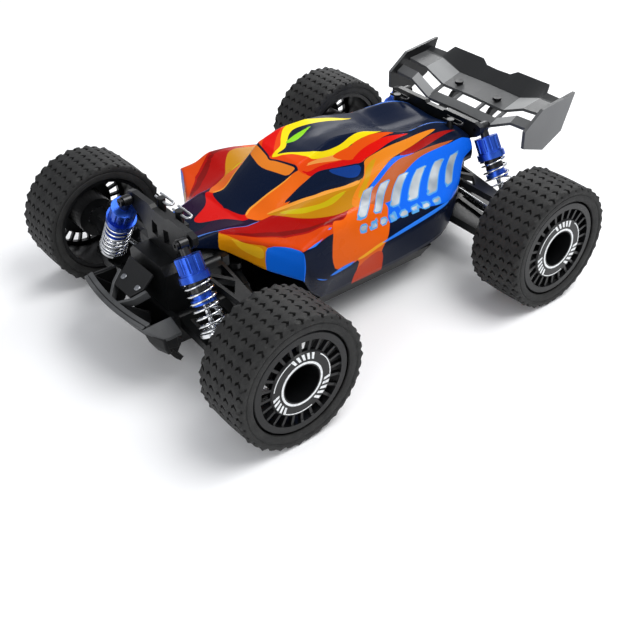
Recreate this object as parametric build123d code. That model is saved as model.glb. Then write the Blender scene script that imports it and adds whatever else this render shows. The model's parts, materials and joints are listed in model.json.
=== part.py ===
from build123d import *
import os
from math import acos, atan2, cos, degrees, hypot, pi, radians, sin, sqrt, tan

# Radio-controlled off-road buggy, about 1:16. Millimetres, +X forward, +Y left, +Z up.
# The origin lies on the ground, in the middle of the overall length and width.
# Heights are given over the ground plane of a tyre as large as axle_height; another tyre
# radius lifts the whole car by `lift` when the pieces are written.

# ---- driving dimensions -------------------------------------------------------------
wheelbase = 187.0
track = 190.0                 # between the middles of the left and right tyres
tyre_radius = 38.0
tyre_width = 35.0
front_overhang = 44.0         # front axle to the bumper's front
rear_overhang = 64.0          # rear axle to the wing's tips
axle_height = 38.0
shell_wheelbase = 187.0       # the wheelbase that the shell's stations are drawn for

# running fits
running = 0.05                # radial gap of a pin in its bore
side_gap = 0.3                # gap between parts that turn beside each other

# suspension
kingpin_offset = 23.0         # tyre's middle plane to the kingpin
arm_pin_y = 22.0              # inner hinge pins
arm_drop = 5.0                # outer pin below the inner pin at rest
pin_below_axle = 11.0         # outer lower pin below the axle
link_spacing = 26.0           # upper link above the lower arm
pin_radius = 1.25
barrel_radius = 3.2
arm_thickness = 5.0
arm_half_length = 15.2        # half the inner barrel, along X
arm_root = 5.4                # arm's straight part beside the pin blocks
fork_half_gap = 6.9           # half the room between the outer ears
fork_half_width = 10.5
fork_depth = 13.0
link_offset = 6.0             # upper link's middle, away from the shock absorber
link_half_length = 5.0

# shock absorbers
front_shock_x = 10.5          # plane of the front shocks, ahead of the axle
rear_shock_x = -12.5
front_shock_top = (27.8, 81.0)
rear_shock_top = (34.0, 82.0)
front_shock_reach = 33.0      # inner pin to the lower eye, across the car
rear_shock_reach = 40.0
shock_eye_lift = 5.8          # lower eye above the arm's middle plane
shock_travel = 9.0
eye_radius = 3.1
eye_half_width = 2.4
cap_radius = 7.2
collar_radius = 8.4
damper_radius = 5.4
rod_radius = 1.4
spring_radius = 8.0
spring_wire = 1.3
open_eye_gap = 0.25           # radial room in the lower eye, which swings on an arc
body_end = 20.0 + shock_travel  # damper body's lower end, below the upper pivot
seat_depth = 19.6             # spring's upper seat
lower_seat = 9.0              # spring's lower end, above the lower eye

# hubs
lug_half = fork_half_gap - side_gap
knuckle_outer = 7.6
web_inner = -11.4             # hub's inner web, from the kingpin
web_outer = -8.4

# drive line
diff_rise = arm_drop          # differential axis above the axle
cup_radius = 5.0
cup_bore = 3.9
ball_radius = 3.0
dogbone_radius = 1.5
cross_pin_radius = 0.8
cross_pin_half = 4.4
slot_half_width = 1.9         # the cross pin swings sideways in it at steering lock
dogbone_float = 0.8           # outboard shift at rest; full travel draws the shaft inward
gear_module = 0.8
spur_teeth = 50
pinion_teeth = 18
gear_width = 5.0
gear_backlash = 0.18
motor_drop = 13.0             # motor axis below the centre shaft
spur_from_front = 120.0
shaft_radius = 2.5
motor_radius = 13.5
motor_length = 36.0
bevel_radius = 4.2
crown_radius = 13.4
cup_mouth = 3.4               # outboard cup's mouth, inboard of the kingpin
axle_radius = 2.0
hex_across = 12.0
hex_thickness = 4.0

# wheels
rim_radius = 29.0
rim_wall = 2.2
face_from_middle = 15.8       # rim face outboard of the tyre's middle plane
rim_face_thickness = 3.0
hub_recess_radius = 10.6
slot_inner = 18.5
slot_outer = 24.6
spoke_count = 24
spoke_width = 1.5
nut_across = 7.0

# chassis
floor_height = 12.0
floor_thickness = 3.0
chassis_half_width = 38.0
case_half_length = 17.0
case_half_width = 18.0
case_wall = 2.5
case_top = 62.0
pin_block = 4.0
pin_block_half_width = 27.0
bumper_back = 20.2            # bumper's rear edge, ahead of the front axle

# towers
tower_thickness = 3.5
tower_gap = 3.5               # shock plane to the tower's face
shock_screw_radius = 1.2
front_post_x = -0.4           # body posts, from the axle, for a tower ahead of it
front_post_y = 8.7
rear_post_x = -4.6
rear_post_y = 23.4
post_outer = 2.2
post_rise = 6.4               # post's end above the shock's upper pivot
clip_rise = 4.6
clip_wire = 0.75
stay_y = 16.5                 # wing stays
wing_screw_back = 20.3        # wing screws ahead of the wing's tips

# steering
kingpin_radius = 1.25
kingpin_depth = 1.7           # kingpins' reach into the knuckle's ring
steer_arm = 12.0              # knuckle arm and servo horn, both this long
steer_ball_height = 42.0
inner_ball_x = -24.0
horn_y = -14.0
post_radius = 1.5
drag_bar_height = 50.0
drag_bar_thickness = 3.0
spline_radius = 2.5
horn_play = 1.4               # the horn's pin swings on an arc in the sliding bar's hole
inner_eye_play = 0.5
outer_eye_play = 1.5          # the knuckle's post swings on an arc in the track rod's eye

# body shell and wing
shell_wall = 1.2
wing_half_width = 59.6
plate_thickness = 2.2
flap_thickness = 1.8

# ---- places worked out from the driving dimensions ----------------------------------
overall_length = front_overhang + wheelbase + rear_overhang
front_x = overall_length / 2 - front_overhang
rear_x = front_x - wheelbase
lift = tyre_radius - axle_height
wheel_y = track / 2
kingpin_y = wheel_y - kingpin_offset
outer_pin_z = axle_height - pin_below_axle
inner_pin_z = outer_pin_z + arm_drop
link_inner_z = inner_pin_z + link_spacing
arm_span = kingpin_y - arm_pin_y
arm_length = hypot(arm_span, arm_drop)
arm_slope = degrees(atan2(arm_drop, arm_span))
diff_z = axle_height + diff_rise
inner_ball_z = steer_ball_height + arm_drop
floor_top = floor_height + floor_thickness
gear_centres = gear_module * (spur_teeth + pinion_teeth) / 2
motor_y = sqrt(gear_centres ** 2 - motor_drop ** 2)
motor_z = diff_z - motor_drop
spur_x = front_x - spur_from_front
hex_inner_y = kingpin_y + 17.3
rim_hub_y = hex_inner_y + 0.3
rim_hub_outer = hex_inner_y + hex_thickness + 2.3
rim_face_y = wheel_y + face_from_middle


# ---- helpers --------------------------------------------------------------------------
def rod_x(radius, x0, x1, y=0.0, z=0.0):
    """A round bar along X."""
    return Pos((x0 + x1) / 2, y, z) * Rot(0, 90, 0) * Cylinder(radius, abs(x1 - x0))


def rod_y(radius, y0, y1, x=0.0, z=0.0):
    """A round bar along Y."""
    return Pos(x, (y0 + y1) / 2, z) * Rot(90, 0, 0) * Cylinder(radius, abs(y1 - y0))


def rod_z(radius, z0, z1, x=0.0, y=0.0):
    """A round bar along Z."""
    return Pos(x, y, (z0 + z1) / 2) * Cylinder(radius, abs(z1 - z0))


def block(x0, x1, y0, y1, z0, z1):
    """A box between its two corners."""
    middle = Pos((x0 + x1) / 2, (y0 + y1) / 2, (z0 + z1) / 2)
    return middle * Box(abs(x1 - x0), abs(y1 - y0), abs(z1 - z0))


def slab_xz(points, y0, y1):
    """A flat outline in XZ, thick along Y."""
    face = make_face(Polyline(*[(x, y0, z) for x, z in points], close=True))
    return extrude(face, amount=y1 - y0, dir=(0, 1, 0))


def slab_yz(points, x0, x1):
    """A flat outline in YZ, thick along X."""
    face = make_face(Polyline(*[(x0, y, z) for y, z in points], close=True))
    return extrude(face, amount=x1 - x0, dir=(1, 0, 0))


def slab_xy(points, z0, z1):
    """A flat outline in XY, thick along Z."""
    face = make_face(Polyline(*[(x, y, z0) for x, y in points], close=True))
    return extrude(face, amount=z1 - z0, dir=(0, 0, 1))


def turned(points, x=0.0, z=0.0):
    """A ring about the line through (x, z) along Y, from its (radius, y) outline."""
    face = make_face(Polyline(*[(r, y, 0) for r, y in points], close=True))
    return Pos(x, 0, z) * revolve(face, Axis.Y)


def hexagon_y(across, y0, y1):
    """A hexagonal bar along Y."""
    prism = extrude(RegularPolygon(across / 2, 6, major_radius=False), amount=y1 - y0)
    return Pos(0, y0, 0) * Rot(-90, 0, 0) * prism


def solids_of(*shapes):
    """All solids of the shapes, kept apart, in one group."""
    return Compound(children=[s for shape in shapes for s in shape.solids()])


def side(shape, sign):
    """The left-hand shape, or its mirror image on the right."""
    return shape if sign > 0 else mirror(shape, about=Plane.XZ)


def sloped(shape, inner_z):
    """Put a link drawn along +Y from its inner pin at the arms' slope."""
    return Pos(0, arm_pin_y, inner_z) * Rot(-arm_slope, 0, 0) * shape


# ---- wheels ---------------------------------------------------------------------------
def tyre():
    half = tyre_width / 2
    bead = rim_radius
    crown = tyre_radius
    outline = [
        (bead, -half + 2.5), (bead + 3.0, -half + 0.6), (crown - 5.0, -half),
        (crown - 1.6, -half + 1.6), (crown, -half + 4.5), (crown, half - 4.5),
        (crown - 1.6, half - 1.6), (crown - 5.0, half), (bead + 3.0, half - 0.6),
        (bead, half - 2.5),
    ]
    return Pos(0, wheel_y, 0) * turned(outline)


def rim():
    """Dish with a deep hub recess, a flat printed ring, short spokes and a barrel."""
    face_back = rim_face_y - rim_face_thickness
    inner_lip = wheel_y - tyre_width / 2 + 2.5
    barrel = rim_radius - rim_wall
    sleeve = hub_recess_radius + 1.6
    outline = [
        (axle_radius + running, rim_hub_y), (sleeve, rim_hub_y), (sleeve, face_back),
        (barrel, face_back), (barrel, inner_lip), (rim_radius, inner_lip),
        (rim_radius, rim_face_y - 1.0), (rim_radius - 1.0, rim_face_y),
        (slot_outer, rim_face_y), (slot_outer - 0.6, rim_face_y - 0.8),
        (slot_inner, rim_face_y - 0.8), (slot_inner - 0.6, rim_face_y),
        (hub_recess_radius, rim_face_y), (hub_recess_radius, rim_hub_outer),
        (axle_radius + running, rim_hub_outer),
    ]
    body = turned(outline)
    body -= hexagon_y(hex_across + 0.1, rim_hub_y - 1, hex_inner_y + hex_thickness)
    ring = rod_y(slot_outer, face_back - 1, rim_face_y + 1)
    ring -= rod_y(slot_inner, face_back - 2, rim_face_y + 2)
    for i in range(spoke_count):
        spoke = block(-spoke_width / 2, spoke_width / 2, face_back - 2, rim_face_y + 2, 0, rim_radius)
        ring -= Rot(0, i * 360 / spoke_count, 0) * spoke
    return body - ring


def wheel_axle():
    """Stub axle with its cup, drive hexagon and wheel nut."""
    cup = rod_y(cup_radius, kingpin_y - cup_mouth, kingpin_y + 5)
    cup -= rod_y(cup_bore, kingpin_y - 6, kingpin_y + 4.15)
    cup -= block(-slot_half_width, slot_half_width, kingpin_y - 6, kingpin_y + 3.6, -6, 6)
    nut_end = rim_hub_outer + 3.4
    stub = cup + rod_y(axle_radius, kingpin_y + 4.5, nut_end + 1.2)
    drive_hex = hexagon_y(hex_across, hex_inner_y, hex_inner_y + hex_thickness)
    drive_hex -= rod_y(axle_radius, hex_inner_y - 1, hex_inner_y + hex_thickness + 1)
    nut = hexagon_y(nut_across, rim_hub_outer, nut_end)
    nut += rod_y(nut_across / 2 + 1.0, rim_hub_outer, rim_hub_outer + 0.8)
    nut -= rod_y(axle_radius, rim_hub_outer - 1, nut_end + 1)
    return solids_of(stub, drive_hex, nut)


# ---- suspension links -----------------------------------------------------------------
def eye_place(reach):
    """The lower shock eye in the arm's own frame: along the arm, above its plane."""
    return reach / cos(radians(arm_slope)), shock_eye_lift


def lower_arm(shock_x, reach):
    """Wishbone with an inner barrel, outer fork, shock lugs and two lightening pockets."""
    toward = 1 if shock_x > 0 else -1
    along, above = eye_place(reach)
    half = arm_thickness / 2
    lug_edge = abs(shock_x) + eye_half_width + side_gap + 2.0
    outline = [
        (arm_half_length, 0), (arm_half_length, arm_root), (lug_edge, along - 8), (lug_edge, along + 3),
        (fork_half_width, arm_length), (-fork_half_width, arm_length),
        (-fork_half_width - 1.0, arm_length - 12), (-arm_half_length, arm_root), (-arm_half_length, 0),
    ]
    arm = slab_xy([(toward * x, y) for x, y in outline], -half, half)
    arm += rod_x(barrel_radius, -arm_half_length, arm_half_length)
    arm += rod_x(barrel_radius, -fork_half_width, fork_half_width, arm_length)
    arm -= block(-fork_half_gap, fork_half_gap, arm_length - fork_depth, arm_length + 6, -9, 9)
    pocket = [(-9.5, 6.5), (3.0, 6.5), (1.5, along - 9), (-7.5, arm_length - 16)]
    arm -= slab_xy([(toward * x, y) for x, y in pocket], half - 1.6, half + 1)
    pocket = [(6.0, 6.5), (11.0, 6.5), (11.0, along - 11), (4.5, along - 11)]
    arm -= slab_xy([(toward * x, y) for x, y in pocket], -half - 1, half + 1)
    for lug_side in (-1, 1):
        inner = shock_x + lug_side * (eye_half_width + side_gap)
        outer = inner + lug_side * 2.0
        low, high = sorted((inner, outer))
        lug = block(low, high, along - 3.2, along + 3.2, 0, above)
        arm += lug + rod_x(3.2, low, high, along, above)
    arm -= rod_x(pin_radius + running, -30, 30, 0, 0)
    arm -= rod_x(pin_radius, -30, 30, arm_length, 0)
    pin_half = eye_half_width + side_gap + 2.0
    arm -= rod_x(pin_radius, shock_x - pin_half - 1, shock_x + pin_half + 1, along, above)
    eye_pin = rod_x(pin_radius, shock_x - pin_half, shock_x + pin_half, along, above)
    outer_pin = rod_x(pin_radius, -fork_half_width - 1.2, fork_half_width + 1.2, arm_length)
    return sloped(solids_of(arm, eye_pin, outer_pin), inner_pin_z)


def upper_link(link_x):
    """Flat upper link with a truss opening; it stays parallel to the lower arm."""
    half = 2.0
    wide = link_half_length + 3.0
    outline = [(-wide, 0), (wide, 0), (3.4, arm_length - 4), (-3.4, arm_length - 4)]
    link = slab_xy([(link_x + x, y) for x, y in outline], -half, half)
    link += rod_x(barrel_radius, link_x - wide, link_x + wide)
    link += rod_x(barrel_radius - 0.2, link_x - 3.0, link_x + 3.0, arm_length)
    link += block(link_x - 3.0, link_x + 3.0, arm_length - 7, arm_length, -half, half)
    window = [(-5.4, 6.5), (5.0, 6.5), (-4.4, 19.0)]
    link -= slab_xy([(link_x + x, y) for x, y in window], -5, 5)
    window = [(5.0, 10.5), (3.0, 30.0), (-3.4, 21.5)]
    link -= slab_xy([(link_x + x, y) for x, y in window], -5, 5)
    link -= rod_x(pin_radius + running, link_x - 20, link_x + 20)
    link -= rod_x(pin_radius + running, link_x - 20, link_x + 20, arm_length)
    return sloped(link, link_inner_z)


def dogbone():
    """Drive shaft with a ball and a cross pin at each end."""
    shaft = rod_y(dogbone_radius, dogbone_float, arm_length)
    for end in (dogbone_float, arm_length + dogbone_float):
        shaft += Pos(0, end, 0) * Sphere(ball_radius)
        shaft += rod_z(cross_pin_radius, -cross_pin_half, cross_pin_half, 0, end)
    return sloped(shaft, diff_z)


# ---- hubs and knuckles ----------------------------------------------------------------
def upper_lug(link_x, low):
    """Fork that holds the upper link's outer end."""
    top = outer_pin_z + link_spacing
    fork = block(link_x - 6.2, link_x + 6.2, kingpin_y - 3, kingpin_y + 3, low, top)
    fork += rod_x(3.0, link_x - 6.2, link_x + 6.2, kingpin_y, top)
    gap = 3.0 + side_gap
    fork -= block(link_x - gap, link_x + gap, kingpin_y - 9, kingpin_y + 9, top - 3.6, top + 9)
    fork -= rod_x(pin_radius, link_x - 9, link_x + 9, kingpin_y, top)
    pin = rod_x(pin_radius, link_x - 6.2, link_x + 6.2, kingpin_y, top)
    return fork, pin


def caster_hub():
    """C-shaped hub between the front arms; the knuckle turns between its jaws."""
    y = kingpin_y
    knuckle_top = axle_height + knuckle_outer + side_gap
    knuckle_bottom = axle_height - knuckle_outer - side_gap
    jaw_top = knuckle_top + 2.4
    fork, pin = upper_lug(-link_offset, jaw_top - 0.5)
    hub = rod_x(barrel_radius, -lug_half, lug_half, y, outer_pin_z)
    hub += block(-lug_half, lug_half, y + web_inner, y + 4, outer_pin_z - 1.5, knuckle_bottom)
    hub += block(-lug_half, lug_half, y + web_inner, y + web_outer, outer_pin_z - 1.5, jaw_top)
    hub += block(-12.2, lug_half, y + web_inner, y + 4, knuckle_top, jaw_top)
    hub += fork
    hub -= rod_y(5.8, y + web_inner - 1, y + web_outer + 1, 0, axle_height)
    hub -= rod_x(pin_radius + running, -20, 20, y, outer_pin_z)
    reach = knuckle_outer - kingpin_depth
    kingpins = []
    for start, end in ((axle_height + reach, jaw_top + 1.0),
                       (outer_pin_z + pin_radius + 0.6, axle_height - reach)):
        kingpins.append(rod_z(kingpin_radius, start, end, 0, y))
        hub -= kingpins[-1]
    return solids_of(hub, pin, *kingpins)


def knuckle():
    """Steering knuckle: ring round the drive cup, bearing tube and steering arm."""
    y = kingpin_y
    body = rod_y(knuckle_outer, y - 3.6, y + 6, 0, axle_height)
    body += rod_y(6.4, y + 6, y + 17, 0, axle_height)
    plate_top = steer_ball_height - 5.2
    plate = block(-steer_arm, -3, y - 3.4, y + 3.4, plate_top - 3.2, plate_top)
    plate += rod_z(3.4, plate_top - 3.2, plate_top, -steer_arm, y)
    body += plate
    body += rod_z(post_radius, plate_top - 1, steer_ball_height + 3.4, -steer_arm, y)
    body -= rod_y(cup_radius + side_gap, y - 5, y + 5.3, 0, axle_height)
    body -= rod_y(axle_radius + 0.5, y, y + 20, 0, axle_height)
    body -= rod_y(4.0, y + 5.2, y + 8.2, 0, axle_height)
    body -= rod_y(4.0, y + 13.5, y + 17.5, 0, axle_height)
    for end in (-1, 1):
        deep = axle_height + end * (knuckle_outer - kingpin_depth - side_gap / 2)
        body -= rod_z(kingpin_radius + running, deep, axle_height + end * (knuckle_outer + 1), 0, y)
    bearings = wheel_bearings((y + 5.4, y + 13.5))
    return solids_of(body, *bearings)


def wheel_bearings(starts):
    """Two ball bearings, drawn as plain rings on the wheel axle."""
    rings = []
    for start in starts:
        ring = rod_y(4.0, start, start + 2.8, 0, axle_height)
        rings.append(ring - rod_y(axle_radius + running, start - 1, start + 4, 0, axle_height))
    return rings


def rear_hub():
    """Rear hub carrier: one upright with the bearing tube."""
    y = kingpin_y
    fork, pin = upper_lug(link_offset, axle_height + 6)
    hub = rod_x(barrel_radius, -lug_half, lug_half, y, outer_pin_z)
    hub += block(-lug_half, lug_half, y - 3.4, y + 4, outer_pin_z, axle_height)
    hub += rod_y(8.4, y - 3.6, y + 6, 0, axle_height)
    hub += rod_y(6.4, y + 6, y + 17, 0, axle_height)
    hub += fork
    hub -= rod_y(cup_radius + side_gap, y - 6, y + 5.3, 0, axle_height)
    hub -= rod_y(axle_radius + 0.5, y, y + 20, 0, axle_height)
    hub -= rod_y(4.0, y + 5.2, y + 8.2, 0, axle_height)
    hub -= rod_y(4.0, y + 13.5, y + 17.5, 0, axle_height)
    hub -= rod_x(pin_radius + running, -20, 20, y, outer_pin_z)
    return solids_of(hub, pin, *wheel_bearings((y + 5.4, y + 13.5)))


# ---- shock absorbers ------------------------------------------------------------------
def shock_line(top, reach):
    """Length and tilt of a shock from its upper pivot to the eye on the arm."""
    slope = radians(arm_slope)
    along, above = eye_place(reach)
    eye_y = arm_pin_y + along * cos(slope) + above * sin(slope)
    eye_z = inner_pin_z - along * sin(slope) + above * cos(slope)
    return hypot(eye_y - top[0], top[1] - eye_z), degrees(atan2(eye_y - top[0], top[1] - eye_z))


def hung(shape, shock_x, top, reach):
    """Put a shock drawn down -Z from its upper pivot where it belongs."""
    return Pos(shock_x, *top) * Rot(shock_line(top, reach)[1], 0, 0) * shape




def shock_body():
    """Eyelet, ribbed cap, threaded damper body and spring collar."""
    eye = rod_x(eye_radius, -eye_half_width, eye_half_width)
    eye += rod_z(2.6, -7.0, -2.0)
    eye -= rod_x(pin_radius + running, -9, 9)
    cap = rod_z(cap_radius, -16.0, -6.5)
    for i in range(12):
        cap -= Rot(0, 0, i * 30) * Pos(cap_radius + 0.5, 0, -11) * Cylinder(1.1, 8.0)
    damper = rod_z(damper_radius, -body_end, -16.0)
    damper -= rod_z(rod_radius + 1.2, -body_end - 1, -17.0)
    nut = rod_z(damper_radius + 1.2, -body_end - 3.0, -body_end)
    nut -= rod_z(rod_radius + 0.15, -body_end - 4, -body_end + 1)
    collar = rod_z(collar_radius, -seat_depth, -16.0) - rod_z(damper_radius, -30, -10)
    return solids_of(eye + cap, damper, nut, collar)


def shock_shaft(length):
    """Polished rod with the piston, the lower eyelet and the spring cup."""
    piston_low = -body_end + 0.2
    rod = rod_z(rod_radius, -length + 3.0, piston_low + 2.3)
    rod += rod_z(rod_radius + 1.0, piston_low, piston_low + 2.3)
    eye = rod_x(eye_radius, -eye_half_width, eye_half_width, 0, -length)
    eye += rod_z(2.2, -length + 2.0, -length + 5.5)
    eye -= rod_x(pin_radius + open_eye_gap, -9, 9, 0, -length)
    eye -= rod_z(rod_radius, -length + 3.0, -length + 9)
    cup = rod_z(spring_radius, -length + 5.5, -length + lower_seat - 1.6)
    cup += rod_z(4.4, -length + 5.5, -length + lower_seat + 0.4)
    cup -= rod_z(rod_radius, -length, -length + 20)
    return solids_of(rod, eye, cup)


def shock_spring(length):
    """The coil spring's envelope: a sleeve from the collar to the lower cup."""
    low = -length + lower_seat - 1.6
    sleeve = rod_z(spring_radius, low, -seat_depth)
    return sleeve - rod_z(spring_radius - spring_wire, low - 1, -seat_depth + 1)


# ---- gears and drive line -------------------------------------------------------------
def gear(teeth, bore, width):
    """Spur gear about X with involute-like teeth; a tooth points along +Y before turning."""
    pitch = gear_module * teeth / 2
    base = pitch * cos(radians(20))
    half = pi / (2 * teeth) - gear_backlash / (2 * pitch)

    def half_angle(radius):
        at_pitch = tan(radians(20)) - radians(20)
        roll = acos(min(1.0, base / radius))
        return half + at_pitch - (tan(roll) - roll)

    root = pitch - 1.25 * gear_module
    tip = pitch + 0.95 * gear_module
    radii = [root, max(base, root + 0.2), pitch, tip]
    outline = []
    for tooth in range(teeth):
        middle = 2 * pi * tooth / teeth
        flank = [(r, half_angle(max(r, base))) for r in radii]
        left = [(r, middle - a) for r, a in flank]
        right = [(r, middle + a) for r, a in reversed(flank)]
        outline += [(r * cos(a), r * sin(a)) for r, a in left + right]
    wheel = slab_yz(outline, -width / 2, width / 2)
    return wheel - rod_x(bore, -width, width)


def spur_turn():
    """Turn of the pinion that puts one of its gaps on a tooth of the spur gear."""
    toward = degrees(atan2(-motor_drop, motor_y))
    spur_step = 360 / spur_teeth
    lead = (toward % spur_step) / spur_step
    pinion_step = 360 / pinion_teeth
    return toward + 180 + pinion_step / 2 + lead * pinion_step


def centre_shaft():
    """Propeller shaft with a bevel pinion at each end and the spur gear."""
    front_end = front_x - crown_radius
    rear_end = rear_x + crown_radius
    shaft = rod_x(shaft_radius, rear_end, front_end, 0, diff_z)
    shaft += rod_x(bevel_radius, front_end, front_end + 3.8, 0, diff_z)
    shaft += rod_x(bevel_radius, rear_end - 3.8, rear_end, 0, diff_z)
    spur = gear(spur_teeth, shaft_radius, gear_width)
    for i in range(5):
        spur -= Rot(i * 72, 0, 0) * rod_x(3.4, -9, 9, 12.0)
    hub = rod_x(6.0, -6.0, 6.0) - rod_x(shaft_radius, -9, 9)
    return solids_of(shaft, Pos(spur_x, 0, diff_z) * (spur + hub))


def motor_pinion():
    wheel = gear(pinion_teeth, 1.6, gear_width)
    wheel = Rot(spur_turn(), 0, 0) * wheel
    return Pos(spur_x, motor_y, motor_z) * wheel


def differential():
    """Case, crown gear and two slotted output cups; the crown is on the +Y side."""
    case = rod_y(9.0, -8.0, 6.0)
    crown = rod_y(crown_radius, 6.0, 9.0)
    crown += rod_y(crown_radius, bevel_radius + 0.3, 6.0) - rod_y(9.6, 0, 6.0)
    cups = []
    for sign, start in ((1, 9.0), (-1, 8.0)):
        cup = rod_y(cup_radius, 13.5, arm_pin_y + 3.5) - rod_y(cup_bore, 15.4, arm_pin_y + 9)
        cup -= block(-slot_half_width, slot_half_width, 16.6, arm_pin_y + 9, -6, 6)
        cup += rod_y(shaft_radius, start, 13.5)
        cups.append(side(cup, sign))
    return solids_of(case, crown, *cups)


def gearbox():
    """Split gear case with pin blocks; its pinion opening faces -X before turning."""
    low = floor_top
    case = block(-case_half_length, case_half_length, -case_half_width, case_half_width, low, case_top)
    top_edges = case.edges().filter_by(Axis.X).group_by(Axis.Z)[-1]
    case = chamfer(top_edges, 4.0)
    hollow_x = case_half_length - case_wall
    hollow_y = case_half_width - case_wall
    case -= block(-hollow_x, hollow_x, -hollow_y, hollow_y, diff_z - 14.5, diff_z + 13.8)
    case -= rod_y(cup_radius + running, -30, 30, 0, diff_z)
    case -= rod_x(5.0, -30, 0, 0, diff_z)
    halves = []
    for z0, z1 in ((low - 1, diff_z), (diff_z, case_top + 1)):
        halves.append(case & block(-40, 40, -40, 40, z0, z1))
    blocks = halves[0]
    for end in (-1, 1):
        near = end * (arm_half_length + side_gap)
        far = near + end * pin_block
        bar = block(near, far, -pin_block_half_width, pin_block_half_width, -4.5, 4.5)
        bar = Pos(0, 0, inner_pin_z) * bar
        foot = block(near, far, -case_half_width, case_half_width, low, inner_pin_z)
        blocks += bar + foot
    upper = halves[1]
    for end in (-1, 1):
        ear = block(-2.0, 2.0, 14.0, arm_pin_y + 3.2, link_inner_z - 3.0, link_inner_z + 3.0)
        reach = link_half_length + 3.0 + side_gap + 2.0
        upper += side(Pos(-link_offset - reach, 0, 0) * ear, end)
        upper += side(Pos(-link_offset + reach, 0, 0) * ear, end)
        blocks -= rod_x(pin_radius, -40, 40, end * arm_pin_y, inner_pin_z)
        upper -= rod_x(pin_radius, -40, 40, end * arm_pin_y, link_inner_z)
    bearing = rod_x(5.0, -case_half_length, -case_half_length + case_wall, 0, diff_z)
    bearing -= rod_x(shaft_radius + running, -30, 0, 0, diff_z)
    return solids_of(blocks, upper, bearing)


def gearbox_housings():
    front = Pos(front_x, 0, 0) * gearbox()
    rear = Pos(rear_x, 0, 0) * Rot(0, 0, 180) * gearbox()
    stand = block(spur_x - 12, spur_x - 8, -7.5, 7.5, floor_top, diff_z + 7)
    stand -= rod_x(5.0, spur_x - 13, spur_x - 7, 0, diff_z)
    ring = rod_x(5.0, spur_x - 12, spur_x - 8, 0, diff_z)
    ring -= rod_x(shaft_radius + running, spur_x - 20, spur_x, 0, diff_z)
    return solids_of(front, rear, stand, ring)


# ---- chassis, bumper and towers --------------------------------------------------------
def chassis():
    """Moulded floor with side guards that meet the shell's lower edge."""
    nose = front_x + bumper_back
    tail = rear_x - case_half_length - 6
    wide_front = front_x - 50
    wide_rear = rear_x + 37
    half = [
        (nose, 17), (front_x - case_half_length, 19), (front_x - 34, 26),
        (wide_front, chassis_half_width), (wide_rear, chassis_half_width),
        (rear_x + 17, 26), (rear_x - 2, 19), (tail, 17),
    ]
    outline = half + [(x, -y) for x, y in reversed(half)]
    floor = slab_xy(outline, floor_height, floor_top)
    guard = [
        (chassis_half_width - 3, floor_height), (chassis_half_width, floor_height),
        (chassis_half_width + 9, floor_height + 13), (chassis_half_width + 7, floor_height + 13.6),
        (chassis_half_width - 3, floor_top),
    ]
    for sign in (1, -1):
        floor += side(slab_yz(guard, wide_rear + 1, wide_front - 1), sign)
    return floor


def front_bumper():
    """Kicked-up nose guard with a top brace and two framed recesses."""
    back = front_x + bumper_back
    tip = front_x + front_overhang
    scoop = [
        (back, floor_height), (back + 8, floor_height + 1.5), (tip - 7, floor_height + 13),
        (tip, floor_height + 25), (tip, floor_height + 31), (tip - 3, floor_height + 31.5),
        (tip - 5.5, floor_height + 26), (tip - 11, floor_height + 17), (back + 5, floor_height + 7),
        (back, floor_height + 6),
    ]
    bumper = slab_xz(scoop, -30, 30)
    wing_side = [
        (back + 6, floor_height + 4), (tip - 9, floor_height + 11), (tip - 3, floor_height + 24),
        (tip - 3.5, floor_height + 31), (tip - 14, floor_height + 29), (back + 4, floor_height + 20),
    ]
    for sign in (1, -1):
        bumper += side(slab_xz(wing_side, 28, 31), sign)
        flare = loft([
            Plane.XZ.offset(-31) * make_face(Polyline(*wing_side, close=True)),
            Plane.XZ.offset(-39) * make_face(
                Polyline(*[(x - 4, z - 2) for x, z in wing_side], close=True)
            ),
        ])
        bumper += side(flare, sign)
    for y0, y1 in ((-30, -27), (-1.8, 1.8), (27, 30)):
        rib = [
            (tip - 3, floor_height + 31), (tip - 5, floor_height + 25),
            (back + 3, floor_height + 12), (back + 2, floor_height + 30),
        ]
        bumper += slab_xz(rib, y0, y1)
    brace = [
        (tip - 1.5, floor_height + 31.5), (tip - 4.5, floor_height + 29),
        (back, floor_height + 44), (back, floor_height + 47), (back + 1.5, floor_height + 47),
    ]
    bumper += slab_xz(brace, -12, 12)
    return bumper


def tower(shock_x, top, post_x, post_y, flange_z):
    """Shock tower ahead of the axle: plate with ears, flange and two posts for the shell."""
    face = abs(shock_x) - tower_gap
    ear = top[0] + 4.5
    half = [
        (14, case_top), (15, case_top + 5), (ear - 11, top[1] - 8), (ear - 2.5, top[1] - 4),
        (ear, top[1] - 1), (ear, top[1] + 3), (ear - 5, top[1] + 4.5), (9, top[1] + 4.5),
        (7, top[1] + 3),
    ]
    outline = half + [(-y, z) for y, z in reversed(half)]
    shape = slab_yz(outline, face - tower_thickness, face)
    window = [(3.0, case_top + 6), (9.0, case_top + 7), (8.0, top[1] - 4), (3.0, top[1] - 5)]
    shape += block(face - 10, face, -14, 14, case_top, case_top + 3)
    shape += block(post_x - 3, face - 1, -post_y - 4, post_y + 4, flange_z, flange_z + 2.4)
    for sign in (1, -1):
        shape -= side(slab_yz(window, face - tower_thickness - 1, face + 1), sign)
        shape -= rod_x(shock_screw_radius, 0, 40, sign * top[0], top[1])
        shape += rod_z(post_outer, flange_z, top[1] + post_rise, post_x, sign * post_y)
        shape -= rod_y(clip_wire, sign * post_y - 5, sign * post_y + 5, post_x, top[1] + clip_rise)
    return shape


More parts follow.
